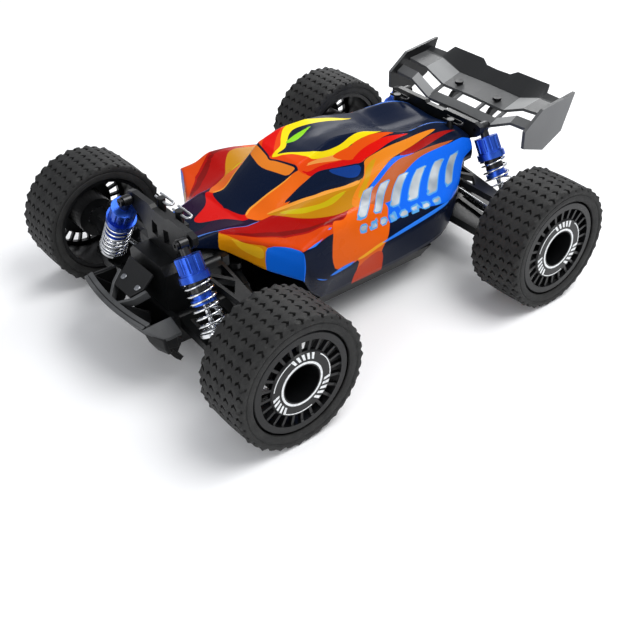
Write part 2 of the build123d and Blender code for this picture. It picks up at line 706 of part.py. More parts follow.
def wing_stay():
    """One of the two plates that carry the wing behind the rear tower."""
    face = rear_x + rear_shock_x + tower_gap
    tail = rear_x - rear_overhang
    outline = [
        (face, 62), (face, 72.5), (tail + 38, 73.2), (tail + 30, 74.4), (tail + 25.6, 79.9),
        (tail + 12, 83.6), (tail + 12, 81.0), (tail + 24, 75.5), (tail + 34, 69),
    ]
    return slab_xz(outline, stay_y - 1.5, stay_y + 1.5)


def shock_towers():
    front = Pos(front_x, 0, 0) * tower(front_shock_x, front_shock_top, front_post_x, front_post_y, 77.5)
    rear = tower(rear_shock_x, rear_shock_top, rear_post_x, rear_post_y, 71.0)
    rear = Pos(rear_x, 0, 0) * Rot(0, 0, 180) * rear
    return solids_of(front, rear, wing_stay(), side(wing_stay(), -1))


# ---- body shell -------------------------------------------------------------------------
# Each station: distance behind the front axle, then half the section from the middle of
# the top to the lower edge: centre, inner ridge, crest, glass foot, valley, pod top,
# pod crest, side ridge and lower edge, as (Y, Z).
shell_stations = [
    (3.0, [(0, 70.2), (7, 70.6), (14, 71), (15, 70.8), (15.7, 70.4), (16.2, 69.8), (16.5, 69),
           (16.7, 68.2), (16.8, 67.2)]),
    (6.0, [(0, 70.5), (7, 70.9), (14.5, 71.4), (15.5, 71), (16.2, 70.4), (16.8, 69.6), (17.2, 68.8),
           (17.4, 67.6), (17.5, 66)]),
    (16.0, [(0, 71.0), (8, 71.4), (16.5, 72.4), (17.6, 71.8), (18.6, 70.8), (19.2, 69.6),
            (19.6, 68), (19.8, 65.5), (19.8, 62.5)]),
    (25.0, [(0, 71.6), (9, 72), (18.6, 73), (20.5, 72.2), (22.5, 70.8), (24.5, 69.4), (26.5, 67.5),
            (27.5, 63), (27.5, 57)]),
    (33.0, [(0, 72.3), (11, 72.4), (20.8, 73), (23, 72), (27, 70.4), (32, 69.5), (39, 69),
            (41.5, 64), (41.5, 52.5)]),
    (42.5, [(0, 77.6), (9, 76.9), (14, 75.4), (22.6, 73), (28, 70.8), (38, 70), (59, 71), (59.4, 61),
            (58.6, 51)]),
    (52.0, [(0, 83.8), (9, 83.2), (15.6, 81.2), (23.8, 77), (28, 72), (38, 71.4), (58, 73.4),
            (59.6, 50), (53, 36)]),
    (61.0, [(0, 89.4), (9, 88.8), (17, 86.4), (24, 80), (27.5, 73.5), (38, 72.4), (57.6, 77.4),
            (59, 46.5), (50.5, 27.5)]),
    (71.0, [(0, 93.8), (9, 94.2), (18, 94.0), (22.6, 83), (26.4, 74), (37, 73.4), (56, 77),
            (58, 46.8), (50.2, 27)]),
    (84.0, [(0, 95.6), (9, 96.6), (17.8, 97.6), (20.6, 86.6), (25.2, 73.6), (36, 73.5),
            (53.6, 75), (57.2, 47.5), (50, 27)]),
    (98.4, [(0, 96.6), (8, 98), (15, 99.9), (20.4, 84.6), (25, 72.4), (35, 73), (50, 72.4),
            (57, 50.5), (50, 27)]),
    (113.0, [(0, 95.2), (8, 96.8), (15, 98), (21, 83), (25.5, 74), (33, 74), (44, 70), (56.5, 52),
             (50, 27)]),
    (132.0, [(0, 90), (8, 92.6), (15.4, 93.4), (22, 85), (27, 79), (32, 76.6), (40, 69), (56, 54),
             (49.5, 27.2)]),
    (152.0, [(0, 81), (8, 84), (19.6, 89.4), (24, 86), (28, 81.6), (32, 78.4), (39, 70),
             (54.5, 55.8), (48.5, 29)]),
    (166.0, [(0, 80.2), (8, 82.8), (19.5, 89.2), (24, 85.6), (28.5, 82), (32.8, 79.2), (38.4, 71),
             (48, 57), (45.5, 36)]),
    (172.5, [(0, 80), (8, 82.4), (19.5, 88.2), (24, 84.8), (28.6, 81.6), (33, 79), (37.6, 71),
             (44, 60), (43, 48)]),
    (174.5, [(0, 79.9), (8, 82.2), (19.6, 87.4), (24.2, 84.2), (28.8, 81.4), (32.9, 78.9), (37.2, 71.6),
             (39.6, 67.4), (39.2, 64.4)]),
    (183.0, [(0, 79.8), (8, 82), (20, 84.6), (25, 82.6), (29.4, 81.2), (32.6, 79.6), (36, 72.4),
             (37, 68), (36.4, 64.8)]),
    (190.8, [(0, 78.6), (8, 79.8), (20, 80.6), (26, 79.6), (30.6, 78.6), (33, 77), (35, 72.4),
             (35.6, 68), (35, 64.4)]),
]


def inset(points, wall):
    """The half-section moved inwards by the wall; the first point stays on the middle line."""
    moved = []
    for i, (y, z) in enumerate(points):
        normals = []
        for a, b in ((i - 1, i), (i, i + 1)):
            if a >= 0 and b < len(points):
                dy = points[b][0] - points[a][0]
                dz = points[b][1] - points[a][1]
                normals.append((dz / hypot(dy, dz), -dy / hypot(dy, dz)))
        if i == 0:
            normals.append((-normals[0][0], normals[0][1]))
        ny = sum(n[0] for n in normals) / len(normals)
        nz = sum(n[1] for n in normals) / len(normals)
        scale = wall / max(ny ** 2 + nz ** 2, 0.3)
        moved.append((y + ny * scale, z + nz * scale))
    moved[-1] = (moved[-1][0], points[-1][1])
    return moved


def body_shell():
    """Thin moulded shell, open below and behind, with holes for the two rear posts."""
    stretch = wheelbase / shell_wheelbase
    sections = []
    for number, (behind, half) in enumerate(shell_stations):
        inner = inset(half, shell_wall)
        if number == 0:
            inner = [(y * 0.96, half[-1][1] + 0.05 * (len(half) - i)) for i, (y, z) in enumerate(half)]
            inner[-1] = (half[-1][0] - 0.6, half[-1][1])
        outside = [(-y, z) for y, z in reversed(half[1:])] + half
        inside = [(-y, z) for y, z in reversed(inner[1:])] + inner
        ring = [(front_x - behind * stretch, y, z) for y, z in outside + inside[::-1]]
        sections.append(make_face(Polyline(*ring, close=True)))
    shell = loft(sections, ruled=True)
    for sign in (1, -1):
        hole = rod_z(post_outer + 0.6, 60, 99, rear_x - rear_post_x, sign * rear_post_y)
        shell -= hole
    return shell


# ---- wing -------------------------------------------------------------------------------
def flap(stations):
    """A ruled blade across the car; each station gives Y and its two edges' (back, Z)."""
    tail = rear_x - rear_overhang
    sections = []
    for y, (front_back, front_z), (rear_back, rear_z) in stations:
        corners = [
            (tail + front_back, y, front_z), (tail + rear_back, y, rear_z),
            (tail + rear_back, y, rear_z - flap_thickness),
            (tail + front_back, y, front_z - flap_thickness),
        ]
        sections.append(make_face(Polyline(*corners, close=True)))
    return loft(sections, ruled=True)


def both_sides(half):
    """Stations from the right end plate to the left one."""
    return [(-y, a, b) for y, a, b in reversed(half[1:])] + half


def wing():
    tail = rear_x - rear_overhang
    inner_y = wing_half_width - plate_thickness
    slat = [
        (0, (37.1, 76.8), (31.5, 79.6)), (27, (37.1, 76.0), (31.5, 79.0)),
        (43, (37.0, 83.6), (31.6, 86.6)), (inner_y, (37.0, 84.2), (31.6, 87.2)),
    ]
    tray = [
        (0, (24.7, 82.6), (9.6, 86.6)), (26.2, (24.7, 82.1), (9.6, 86.2)),
        (42, (25.4, 89.0), (10.5, 91.2)), (inner_y, (25.6, 90.4), (10.5, 91.6)),
    ]
    rear = [
        (0, (9.8, 86.8), (3.4, 94.4)), (9.9, (9.8, 86.6), (2.2, 94.2)), (14.6, (9.8, 86.6), (0.6, 96.8)),
        (26.2, (9.8, 86.4), (0.6, 96.9)), (40.6, (10.7, 90.6), (0.7, 97.0)),
        (43, (10.7, 91.3), (5.6, 93.8)), (inner_y, (10.7, 91.8), (5.8, 93.6)),
    ]
    shape = flap(both_sides(slat)) + flap(both_sides(tray)) + flap(both_sides(rear))
    for y in (-27, -10, 10, 27):
        web = [(34.5, 75.8), (31.0, 77.4), (22.0, 80.8), (22.0, 82.4), (32.0, 79.0), (34.5, 77.6)]
        shape += slab_xz([(tail + x, z) for x, z in web], y - 1, y + 1)
    plate = [
        (0, 98.2), (28.4, 95.1), (42.6, 84.8), (42.3, 73.8), (24.3, 67.6), (8.5, 75.6),
    ]
    for sign in (1, -1):
        outline = [(tail + x, z) for x, z in plate]
        shape += side(slab_xz(outline, inner_y, wing_half_width), sign)
        shape -= rod_z(1.4, 60, 99, tail + wing_screw_back, sign * stay_y)
    return shape


# ---- electronics ------------------------------------------------------------------------
def servo_and_receiver():
    """Steering servo with its output spline, and the receiver and speed-control box."""
    horn_x = front_x + inner_ball_x - steer_arm
    servo = block(horn_x - 20, horn_x + 6, horn_y - 7, horn_y + 7, floor_top, 46)
    ears = block(horn_x - 25, horn_x + 10.5, horn_y - 7, horn_y + 7, 34, 36.4)
    servo = servo + ears + rod_z(spline_radius, 46, 57, horn_x, horn_y)
    box = block(spur_x + 10, spur_x + 54, 10, 34.8, floor_top, 36)
    box = chamfer(box.edges().group_by(Axis.Z)[-1], 1.5)
    heat_sink = block(spur_x + 14, spur_x + 32, 14, 31.5, 36, 37.5)
    for i in range(6):
        x = spur_x + 14 + i * 3.3
        heat_sink += block(x, x + 1.5, 14, 31.5, 37.5, 42)
    return solids_of(servo, box, heat_sink)


def battery():
    pack = block(spur_x + 8, spur_x + 58, -33.6, -9, floor_top, floor_top + 18)
    pack = fillet(pack.edges().filter_by(Axis.X), 2.0)
    strap = block(spur_x + 30, spur_x + 36, -34.8, -7.8, floor_top, floor_top + 19.2)
    strap -= block(spur_x + 29, spur_x + 37, -33.6, -9, floor_top - 1, floor_top + 18)
    return solids_of(pack, strap)


def motor():
    """Brushed can motor on its mount plate."""
    face_x = spur_x - gear_width / 2 - 1.2
    plate = block(face_x - 2.8, face_x, 9.4, chassis_half_width - 3, floor_top, motor_z + 14.5)
    plate -= rod_x(5.0, face_x - 9, face_x + 9, motor_y, motor_z)
    can = rod_x(motor_radius, face_x - 2.8 - motor_length, face_x - 2.8, motor_y, motor_z)
    can -= rod_x(1.6, face_x - 20, face_x, motor_y, motor_z)
    boss = rod_x(4.0, face_x - 4.8 - motor_length, face_x - 2.8 - motor_length, motor_y, motor_z)
    return solids_of(plate, can, boss)


def pinion_on_shaft():
    """Pinion and the motor shaft that carries it."""
    face_x = spur_x - gear_width / 2 - 1.2
    shaft = rod_x(1.5, face_x - 18, spur_x + gear_width / 2 + 1, motor_y, motor_z)
    return solids_of(motor_pinion() - rod_x(1.5, spur_x - 9, spur_x + 9, motor_y, motor_z), shaft)


# ---- steering ---------------------------------------------------------------------------
def steering_crank():
    """Servo horn: a sleeve on the servo's spline, an arm and a pin to the drag link."""
    horn_x = front_x + inner_ball_x - steer_arm
    tip_x = front_x + inner_ball_x
    arm_low = drag_bar_height + drag_bar_thickness + 1.0
    horn = rod_z(spline_radius + 2.0, 46.3, arm_low + 3, horn_x, horn_y)
    horn += block(horn_x, tip_x, horn_y - 2.6, horn_y + 2.6, arm_low, arm_low + 3)
    horn += rod_z(2.6, arm_low, arm_low + 3, tip_x, horn_y)
    horn += rod_z(post_radius, drag_bar_height - 0.5, arm_low + 1, tip_x, horn_y)
    return horn - rod_z(spline_radius + running, 40, 57.05, horn_x, horn_y)


def drag_link():
    """Cross bar that the horn slides sideways; both track rods hang on its pins."""
    x = front_x + inner_ball_x
    top = drag_bar_height + drag_bar_thickness
    bar = block(x - 3.6, x + 3.6, -arm_pin_y, arm_pin_y, drag_bar_height, top)
    for sign in (1, -1):
        bar += rod_z(3.6, drag_bar_height, top, x, sign * arm_pin_y)
        bar += rod_z(post_radius, inner_ball_z - 2.6, top, x, sign * arm_pin_y)
    return bar - rod_z(post_radius + horn_play, drag_bar_height - 2, top + 2, x, horn_y)


def tie_rod():
    """Track rod from the drag link's pin to the knuckle's post, parallel to the arms."""
    start = Vector(front_x + inner_ball_x, arm_pin_y, inner_ball_z)
    end = Vector(front_x - steer_arm, kingpin_y, steer_ball_height)
    along = (end - start).normalized()
    rod_plane = Plane(start + along * 4.0, z_dir=along)
    rod_length = (end - start).length - 8.0
    rod = rod_plane * (Pos(0, 0, rod_length / 2) * Cylinder(1.6, rod_length))
    for at, reach in ((start, 16.0), (end, -16.0)):
        socket = Plane(at + along * reach / 4, z_dir=along * (1 if reach > 0 else -1))
        rod += socket * (Pos(0, 0, 5.5) * Cylinder(2.3, 11.0))
    tilt = Rot(-arm_slope, 0, 0)
    for at, play in ((start, inner_eye_play), (end, outer_eye_play)):
        place = Pos(at.X, at.Y, at.Z)
        rod -= place * tilt * Cylinder(eye_outer(play), 9)
        rod += place * tilt * (Cylinder(eye_outer(play), 3.0) - Cylinder(post_radius + play, 5.0))
    return rod


def eye_outer(play):
    return post_radius + play + 1.5


# ---- fasteners --------------------------------------------------------------------------
def screw_x(head_x, length, y, z, toward):
    """Round-headed screw along X; the head looks along `toward`."""
    head = rod_x(2.4, head_x, head_x + toward * 1.6, y, z)
    head -= rod_x(1.0, head_x + toward * 0.7, head_x + toward * 3, y, z)
    return head + rod_x(shock_screw_radius, head_x - toward * length, head_x, y, z)


def body_clip(x, y, z):
    """Bent spring clip through a body post."""
    straight = rod_y(clip_wire - 0.05, y - 6, y + 6, x, z)
    upper = rod_y(clip_wire - 0.05, y - 6, y + 6, x - 3.4, z + 0.6)
    loop = Pos(x - 1.7, y + 6, z + 0.3) * Torus(1.8, clip_wire - 0.05)
    loop &= block(x - 9, x + 9, y + 6, y + 12, z - 6, z + 6)
    return straight + upper + loop


def fasteners():
    pieces = []
    for axle, shock_x, top in (
        (front_x, front_shock_x, front_shock_top), (rear_x, rear_shock_x, rear_shock_top),
    ):
        toward = 1 if shock_x > 0 else -1
        head_x = axle + shock_x + toward * (eye_half_width + 0.3)
        length = eye_half_width * 2 + tower_gap - eye_half_width + 3.4
        link_x = axle - toward * link_offset
        pin_half = arm_half_length + side_gap + pin_block
        link_half = link_half_length + 3.0 + side_gap + 4.0
        for sign in (1, -1):
            pieces.append(screw_x(head_x, length, sign * top[0], top[1], toward))
            pin = rod_x(pin_radius, axle - pin_half, axle + pin_half, sign * arm_pin_y, inner_pin_z)
            pieces.append(pin)
            pin = rod_x(pin_radius, link_x - link_half, link_x + link_half,
                        sign * arm_pin_y, link_inner_z)
            pieces.append(pin)
    for x, y, top in (
        (front_x + front_post_x, front_post_y, front_shock_top[1]),
        (rear_x - rear_post_x, rear_post_y, rear_shock_top[1]),
    ):
        for sign in (1, -1):
            pieces.append(body_clip(x, sign * y, top + clip_rise))
    tail = rear_x - rear_overhang
    for sign in (1, -1):
        head = Pos(tail + wing_screw_back, sign * stay_y, 85.3) * Cylinder(2.8, 1.6)
        pieces.append(head)
    return solids_of(*pieces)


# ---- writing ----------------------------------------------------------------------------
def write(name, shape):
    export_step(Pos(0, 0, lift) * shape, "parts/" + name + ".step")


def main():
    os.makedirs("parts", exist_ok=True)
    write("chassis", chassis())
    write("body_shell", body_shell())
    write("front_bumper", front_bumper())
    write("shock_towers", shock_towers())
    write("gearbox_housings", gearbox_housings())
    write("wing", wing())
    write("servo_and_receiver", servo_and_receiver())
    write("battery", battery())
    write("motor", motor())
    write("motor_pinion", pinion_on_shaft())
    write("centre_shaft", centre_shaft())
    write("front_differential", Pos(front_x, 0, diff_z) * differential())
    write("rear_differential", Pos(rear_x, 0, diff_z) * Rot(0, 0, 180) * differential())
    write("steering_crank", steering_crank())
    write("drag_link", drag_link())
    write("fasteners", fasteners())
    for side_name, sign in (("left", 1), ("right", -1)):
        write("tie_rod_" + side_name, side(tie_rod(), sign))
        for end, axle, shock_x, top, reach in (
            ("front", front_x, front_shock_x, front_shock_top, front_shock_reach),
            ("rear", rear_x, rear_shock_x, rear_shock_top, rear_shock_reach),
        ):
            corner = end + "_" + side_name + "_"
            link_x = -link_offset if shock_x > 0 else link_offset
            length = shock_line(top, reach)[0]
            at_hub = Pos(axle, 0, axle_height)
            at_axle = Pos(axle, 0, 0)
            write(corner + "tyre", side(at_hub * tyre(), sign))
            write(corner + "rim", side(at_hub * rim(), sign))
            write(corner + "wheel_axle", side(at_hub * wheel_axle(), sign))
            write(corner + "lower_arm", side(at_axle * lower_arm(shock_x, reach), sign))
            write(corner + "upper_link", side(at_axle * upper_link(link_x), sign))
            write(corner + "dogbone", side(at_axle * dogbone(), sign))
            shock = ((shock_body(), "shock_body"), (shock_shaft(length), "shock_shaft"),
                     (shock_spring(length), "shock_spring"))
            for shape, name in shock:
                write(corner + name, side(at_axle * hung(shape, shock_x, top, reach), sign))
            if end == "front":
                write(corner + "caster_hub", side(at_axle * caster_hub(), sign))
                write(corner + "knuckle", side(at_axle * knuckle(), sign))
            else:
                write(corner + "hub", side(at_axle * rear_hub(), sign))


main()
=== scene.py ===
import json
import math

import bpy
import numpy as np
from mathutils import Matrix, Vector


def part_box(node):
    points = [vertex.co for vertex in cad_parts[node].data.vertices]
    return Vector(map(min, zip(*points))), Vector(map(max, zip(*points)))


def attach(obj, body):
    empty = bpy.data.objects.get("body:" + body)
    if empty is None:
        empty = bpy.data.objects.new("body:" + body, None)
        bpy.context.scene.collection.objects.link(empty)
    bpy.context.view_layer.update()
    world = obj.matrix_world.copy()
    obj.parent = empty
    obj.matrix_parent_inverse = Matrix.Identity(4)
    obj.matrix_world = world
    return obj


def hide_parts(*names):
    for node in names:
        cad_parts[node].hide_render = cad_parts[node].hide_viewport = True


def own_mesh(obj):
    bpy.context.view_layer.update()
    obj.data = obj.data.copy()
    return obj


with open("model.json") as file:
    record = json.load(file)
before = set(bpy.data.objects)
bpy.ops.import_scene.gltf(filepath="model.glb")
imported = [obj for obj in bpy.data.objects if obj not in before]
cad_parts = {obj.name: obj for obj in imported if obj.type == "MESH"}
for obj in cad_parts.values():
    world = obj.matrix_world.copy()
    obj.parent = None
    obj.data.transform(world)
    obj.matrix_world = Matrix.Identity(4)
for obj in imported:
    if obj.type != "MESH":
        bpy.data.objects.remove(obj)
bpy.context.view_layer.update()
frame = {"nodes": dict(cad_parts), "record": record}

# The looks of a 1:16 radio-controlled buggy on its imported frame. Outlines and sizes below are
# in millimetres in the frame's axes (+X forward, +Y left, +Z up) and become metres in piece().
MM = 0.001
CORNERS = ("front_left", "front_right", "rear_left", "rear_right")


def centre_of(node):
    low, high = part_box(node)
    return np.array((low + high) / 2) / MM


WHEEL = {corner: centre_of(corner + "_tyre") for corner in CORNERS}
FRONT_X = WHEEL["front_left"][0]
REAR_X = WHEEL["rear_left"][0]


def side_of(corner):
    """1 on the left, where Y is above 0, and -1 on the right."""
    return 1 if corner.endswith("left") else -1


# ---- camera, light and floor ------------------------------------------------------------
LENS = 57.0
CAMERA_PLACE = (0.32066, 0.39462, 0.34577)       # metres
FROM_TARGET = (0.4963, 0.6332, 0.5940)           # from what the camera looks at, back to it
CAMERA_ROLL = -0.014                             # radians
SKY_STRENGTH = 0.56
FLOOR_HALF = 6.0                                 # metres


def camera():
    data = bpy.data.cameras.new("camera")
    data.sensor_width = 36.0
    data.lens = LENS
    data.clip_start = 0.01
    cam = bpy.data.objects.new("camera", data)
    bpy.context.scene.collection.objects.link(cam)
    forward = -Vector(FROM_TARGET).normalized()
    right = forward.cross(Vector((0, 0, 1))).normalized()
    up = right.cross(forward)
    cam_x = math.cos(CAMERA_ROLL) * right + math.sin(CAMERA_ROLL) * up
    cam_y = math.cos(CAMERA_ROLL) * up - math.sin(CAMERA_ROLL) * right
    turn = Matrix((cam_x, cam_y, -forward)).transposed()
    cam.matrix_world = Matrix.Translation(CAMERA_PLACE) @ turn.to_4x4()
    bpy.context.scene.camera = cam


def area_light(name, place, target, size, watts):
    data = bpy.data.lights.new(name, "AREA")
    data.shape = "RECTANGLE"
    data.size, data.size_y = size
    data.energy = watts
    lamp = bpy.data.objects.new(name, data)
    lamp.location = place
    lamp.rotation_mode = "QUATERNION"
    lamp.rotation_quaternion = (Vector(target) - Vector(place)).to_track_quat("-Z", "Y")
    bpy.context.scene.collection.objects.link(lamp)


def studio():
    scene = bpy.context.scene
    scene.view_settings.view_transform = "Standard"
    world = bpy.data.worlds.new("studio")
    world.use_nodes = True
    background = world.node_tree.nodes["Background"]
    background.inputs["Color"].default_value = (0.93, 0.95, 1.0, 1)
    background.inputs["Strength"].default_value = SKY_STRENGTH
    scene.world = world
    area_light("key", (-0.25, 0.35, 0.9), (0, 0, 0.04), (0.7, 0.5), 7.0)
    area_light("fill", (0.85, 0.35, 0.35), (0, 0, 0.04), (0.6, 0.4), 2.0)
    area_light("rim_light", (-0.6, -0.5, 0.5), (0, 0, 0.05), (0.5, 0.3), 3.2)
    mesh = bpy.data.meshes.new("floor")
    h = FLOOR_HALF
    mesh.from_pydata([(-h, -h, 0), (h, -h, 0), (h, h, 0), (-h, h, 0)], [], [(0, 1, 2, 3)])
    floor = bpy.data.objects.new("floor", mesh)
    scene.collection.objects.link(floor)
    floor.data.materials.append(plain_floor())


# ---- node materials -----------------------------------------------------------------------
class Paint:
    """A node material: a Principled shader, and short ways to wire nodes to it."""

    def __init__(self, name, **sockets):
        self.material = bpy.data.materials.new(name)
        self.material.use_nodes = True
        self.tree = self.material.node_tree
        self.shader = self.tree.nodes["Principled BSDF"]
        self.place = self.node("ShaderNodeTexCoord").outputs["Object"]
        for socket, value in sockets.items():
            self.shader.inputs[socket.replace("_", " ")].default_value = value

    def node(self, kind, **settings):
        made = self.tree.nodes.new(kind)
        for name, value in settings.items():
            setattr(made, name, value)
        return made

    def join(self, value, socket):
        """Wires an output into a socket, or sets the socket's number or colour."""
        if isinstance(value, bpy.types.NodeSocket):
            self.tree.links.new(value, socket)
        else:
            socket.default_value = value

    def axes(self, vector):
        """The X, Y and Z of a vector."""
        made = self.node("ShaderNodeSeparateXYZ")
        self.join(vector, made.inputs[0])
        return tuple(made.outputs)

    def sum(self, operation, first, second=0.0):
        made = self.node("ShaderNodeMath", operation=operation)
        for value, socket in zip((first, second), made.inputs):
            self.join(value, socket)
        return made.outputs[0]

    def noise(self, scale, detail=3.0, roughness=0.55):
        made = self.node("ShaderNodeTexNoise")
        made.inputs["Scale"].default_value = scale
        made.inputs["Detail"].default_value = detail
        made.inputs["Roughness"].default_value = roughness
        self.join(self.place, made.inputs["Vector"])
        return made.outputs[0]

    def spread(self, value, low, high, start=0.3, end=0.7):
        """Maps start to end of a value onto low to high."""
        made = self.node("ShaderNodeMapRange")
        for number, given in enumerate((value, start, end, low, high)):
            self.join(given, made.inputs[number])
        return made.outputs[0]

    def mix(self, share, first, second, blend="MIX"):
        made = self.node("ShaderNodeMix", data_type="RGBA", blend_type=blend)
        self.join(share, made.inputs[0])
        self.join(first, made.inputs[6])
        self.join(second, made.inputs[7])
        return made.outputs[2]

    def attribute(self, name):
        return self.node("ShaderNodeAttribute", attribute_name=name).outputs["Fac"]

    def colour(self, value):
        self.join(value, self.shader.inputs["Base Color"])

    def roughness(self, value):
        self.join(value, self.shader.inputs["Roughness"])

    def bump(self, height, distance, strength=1.0):
        made = self.node("ShaderNodeBump")
        made.inputs["Strength"].default_value = strength
        made.inputs["Distance"].default_value = distance
        self.join(height, made.inputs["Height"])
        self.tree.links.new(made.outputs[0], self.shader.inputs["Normal"])


def srgb(text):
    """A hex colour as linear RGBA."""
    channels = [int(text[i:i + 2], 16) / 255 for i in (0, 2, 4)]
    return tuple(c / 12.92 if c <= 0.04045 else ((c + 0.055) / 1.055) ** 2.4 for c in channels) + (1.0,)


def plain_floor():
    paint = Paint("pale_floor", Roughness=0.9)
    paint.colour(srgb("ffffff"))
    return paint.material


GRAIN = 900.0               # cells of the moulding grain in a metre
GRAIN_DEPTH = 0.00006       # metres
TOOL_MARK_DEPTH = 0.00002


def moulded(name, dark, light, rough):
    """Moulded nylon: a fine spark-eroded grain, cloudy tone and slightly rubbed high spots."""
    paint = Paint(name, Specular_IOR_Level=0.3)
    cloud = paint.noise(45.0, 4.0)
    fine = paint.noise(GRAIN, 2.0)
    paint.colour(paint.mix(paint.spread(cloud, 0.0, 1.0), srgb(dark), srgb(light)))
    paint.roughness(paint.spread(paint.sum("ADD", cloud, paint.sum("MULTIPLY", fine, 0.5)),
                                 rough - 0.07, rough + 0.1, 0.5, 1.1))
    paint.bump(fine, GRAIN_DEPTH, 0.6)
    return paint.material


def metal(name, dark, light, rough):
    """Turned or plated metal with fine tool marks and a little uneven polish."""
    paint = Paint(name, Metallic=1.0)
    marks = paint.noise(700.0, 3.0)
    cloud = paint.noise(60.0, 3.0)
    paint.colour(paint.mix(paint.spread(cloud, 0.0, 1.0), srgb(dark), srgb(light)))
    paint.roughness(paint.spread(marks, rough * 0.7, rough * 1.4))
    paint.bump(marks, TOOL_MARK_DEPTH, 0.5)
    return paint.material


def wing_grey_with_painted_light():
    """Satin grey moulding with painted light and shade: a painted highlight on the upward slopes and on
    the outsides of the end plates, and painted shade on the insides of the end plates and on the flap.
    """
    paint = Paint("wing_grey_with_painted_light", Specular_IOR_Level=0.3)
    _, facing_y, facing_z = paint.axes(paint.node("ShaderNodeTexCoord").outputs["Normal"])
    x, y, _ = paint.axes(paint.place)
    outward = paint.sum("MULTIPLY", facing_y, paint.sum("SIGN", y))
    cloud = paint.noise(45.0, 4.0)
    tone = paint.mix(paint.spread(cloud, 0.0, 1.0), srgb("4a4b4c"), srgb("585959"))
    # painted highlight: faces that turn up and inward are made pale grey
    slope = paint.sum("MULTIPLY", paint.spread(outward, 0.0, 1.0, -0.2, -0.35),
                      paint.spread(facing_z, 0.0, 1.0, 0.3, 0.5))
    tone = paint.mix(slope, tone, srgb("8f9090"))
    # painted shade: the flap at the back is made dark grey
    flap = paint.spread(x, 0.0, 1.0, -0.1372, -0.1376)
    tone = paint.mix(flap, tone, srgb("232425"))
    plate = paint.spread(paint.sum("ABSOLUTE", y), 0.0, 1.0, 0.0566, 0.057)
    # painted shade on the inner faces of the end plates
    tone = paint.mix(paint.sum("MULTIPLY", plate, paint.spread(outward, 0.0, 1.0, -0.5, -0.7)),
                     tone, srgb("111213"))
    # painted highlight on the outer faces of the end plates
    tone = paint.mix(paint.sum("MULTIPLY", plate, paint.spread(outward, 0.0, 1.0, 0.5, 0.7)),
                     tone, srgb("707172"))
    paint.colour(tone)
    paint.roughness(paint.spread(cloud, 0.36, 0.5))
    paint.bump(paint.noise(GRAIN, 2.0), GRAIN_DEPTH, 0.5)
    return paint.material


def fastener_finish():
    """Black screws; the spring clips at the nose are bright wire."""
    paint = Paint("fastener_finish", Metallic=0.9)
    x, _, z = paint.axes(paint.place)
    bright = paint.sum("MULTIPLY", paint.spread(x, 0.0, 1.0, 0.05, 0.051),
                       paint.spread(z, 0.0, 1.0, 0.0838, 0.084))
    marks = paint.noise(700.0, 3.0)
    black = paint.mix(paint.spread(marks, 0.0, 1.0), srgb("141415"), srgb("2a2a2b"))
    paint.colour(paint.mix(bright, black, srgb("b8babc")))
    paint.roughness(paint.spread(marks, 0.3, 0.5))
    return paint.material


def rubber():
    """Soft tyre compound: dull, finely pitted, greyer where it has scuffed."""
    paint = Paint("tyre_rubber", Specular_IOR_Level=0.35)
    pits = paint.noise(1400.0, 2.0)
    scuff = paint.noise(160.0, 5.0, 0.65)
    base = paint.mix(paint.spread(scuff, 0.0, 1.0, 0.35, 0.7), srgb("181818"), srgb("2a2a29"))
    paint.colour(base)
    paint.roughness(paint.spread(pits, 0.62, 0.8))
    height = paint.sum("ADD", pits, paint.sum("MULTIPLY", scuff, 0.8))
    paint.bump(height, 0.0001, 0.7)
    return paint.material


def printed(name, tone):
    """Pad-printed ink, a little uneven."""
    paint = Paint(name)
    speckle = paint.noise(900.0, 2.0)
    paint.colour(paint.mix(paint.spread(speckle, 0.0, 1.0, 0.3, 0.75), srgb(tone), srgb("c9cccd")))
    paint.roughness(paint.spread(speckle, 0.35, 0.5))
    return paint.material


MATERIALS = {
    "floor_plastic": moulded("floor_plastic", "0b0b0c", "161718", 0.5),
    "suspension_plastic": moulded("suspension_plastic", "08090a", "151617", 0.36),
    "wing_plastic": wing_grey_with_painted_light(),
    "rim_plastic": moulded("rim_plastic", "060607", "111213", 0.33),
    "motor_can": metal("motor_can", "707478", "9a9ea2", 0.3),
    "steel": metal("steel", "9a9c9f", "c4c6c8", 0.24),
    "spring_steel": metal("spring_steel", "c8cacc", "eceef0", 0.14),
    "battery_wrap": moulded("battery_wrap", "14306e", "1c3f86", 0.3),
    "tyre": rubber(),
}
WHITE_INK = printed("white_ink", "f4f6f6")


# ---- mesh helpers -----------------------------------------------------------------------
def piece(name, points, faces, materials, body, face_material=None, smooth=True):
    """A mesh from points in millimetres in the frame's axes, riding on a body."""
    mesh = bpy.data.meshes.new(name)
    mesh.from_pydata([tuple(p) for p in np.asarray(points, float) * MM], [], faces)
    for material in materials:
        mesh.materials.append(material)
    if face_material is not None:
        mesh.polygons.foreach_set("material_index", np.asarray(face_material, np.int32))
    mesh.polygons.foreach_set("use_smooth", [smooth] * len(mesh.polygons))
    mesh.update()
    made = bpy.data.objects.new(name, mesh)
    bpy.context.scene.collection.objects.link(made)
    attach(made, body)
    return made


def grid_faces(rows, columns, close_rows=False, close_columns=False):
    """Quads of a grid of points stored row by row."""
    faces = []
    for i in range(rows if close_rows else rows - 1):
        for j in range(columns if close_columns else columns - 1):
            a, b = i * columns, (i + 1) % rows * columns
            faces.append((a + j, a + (j + 1) % columns, b + (j + 1) % columns, b + j))
    return faces


def sharpen(made, degrees):
    """Keeps edges sharper than an angle crisp in an otherwise smooth mesh."""
    made.data.set_sharp_from_angle(angle=math.radians(degrees))


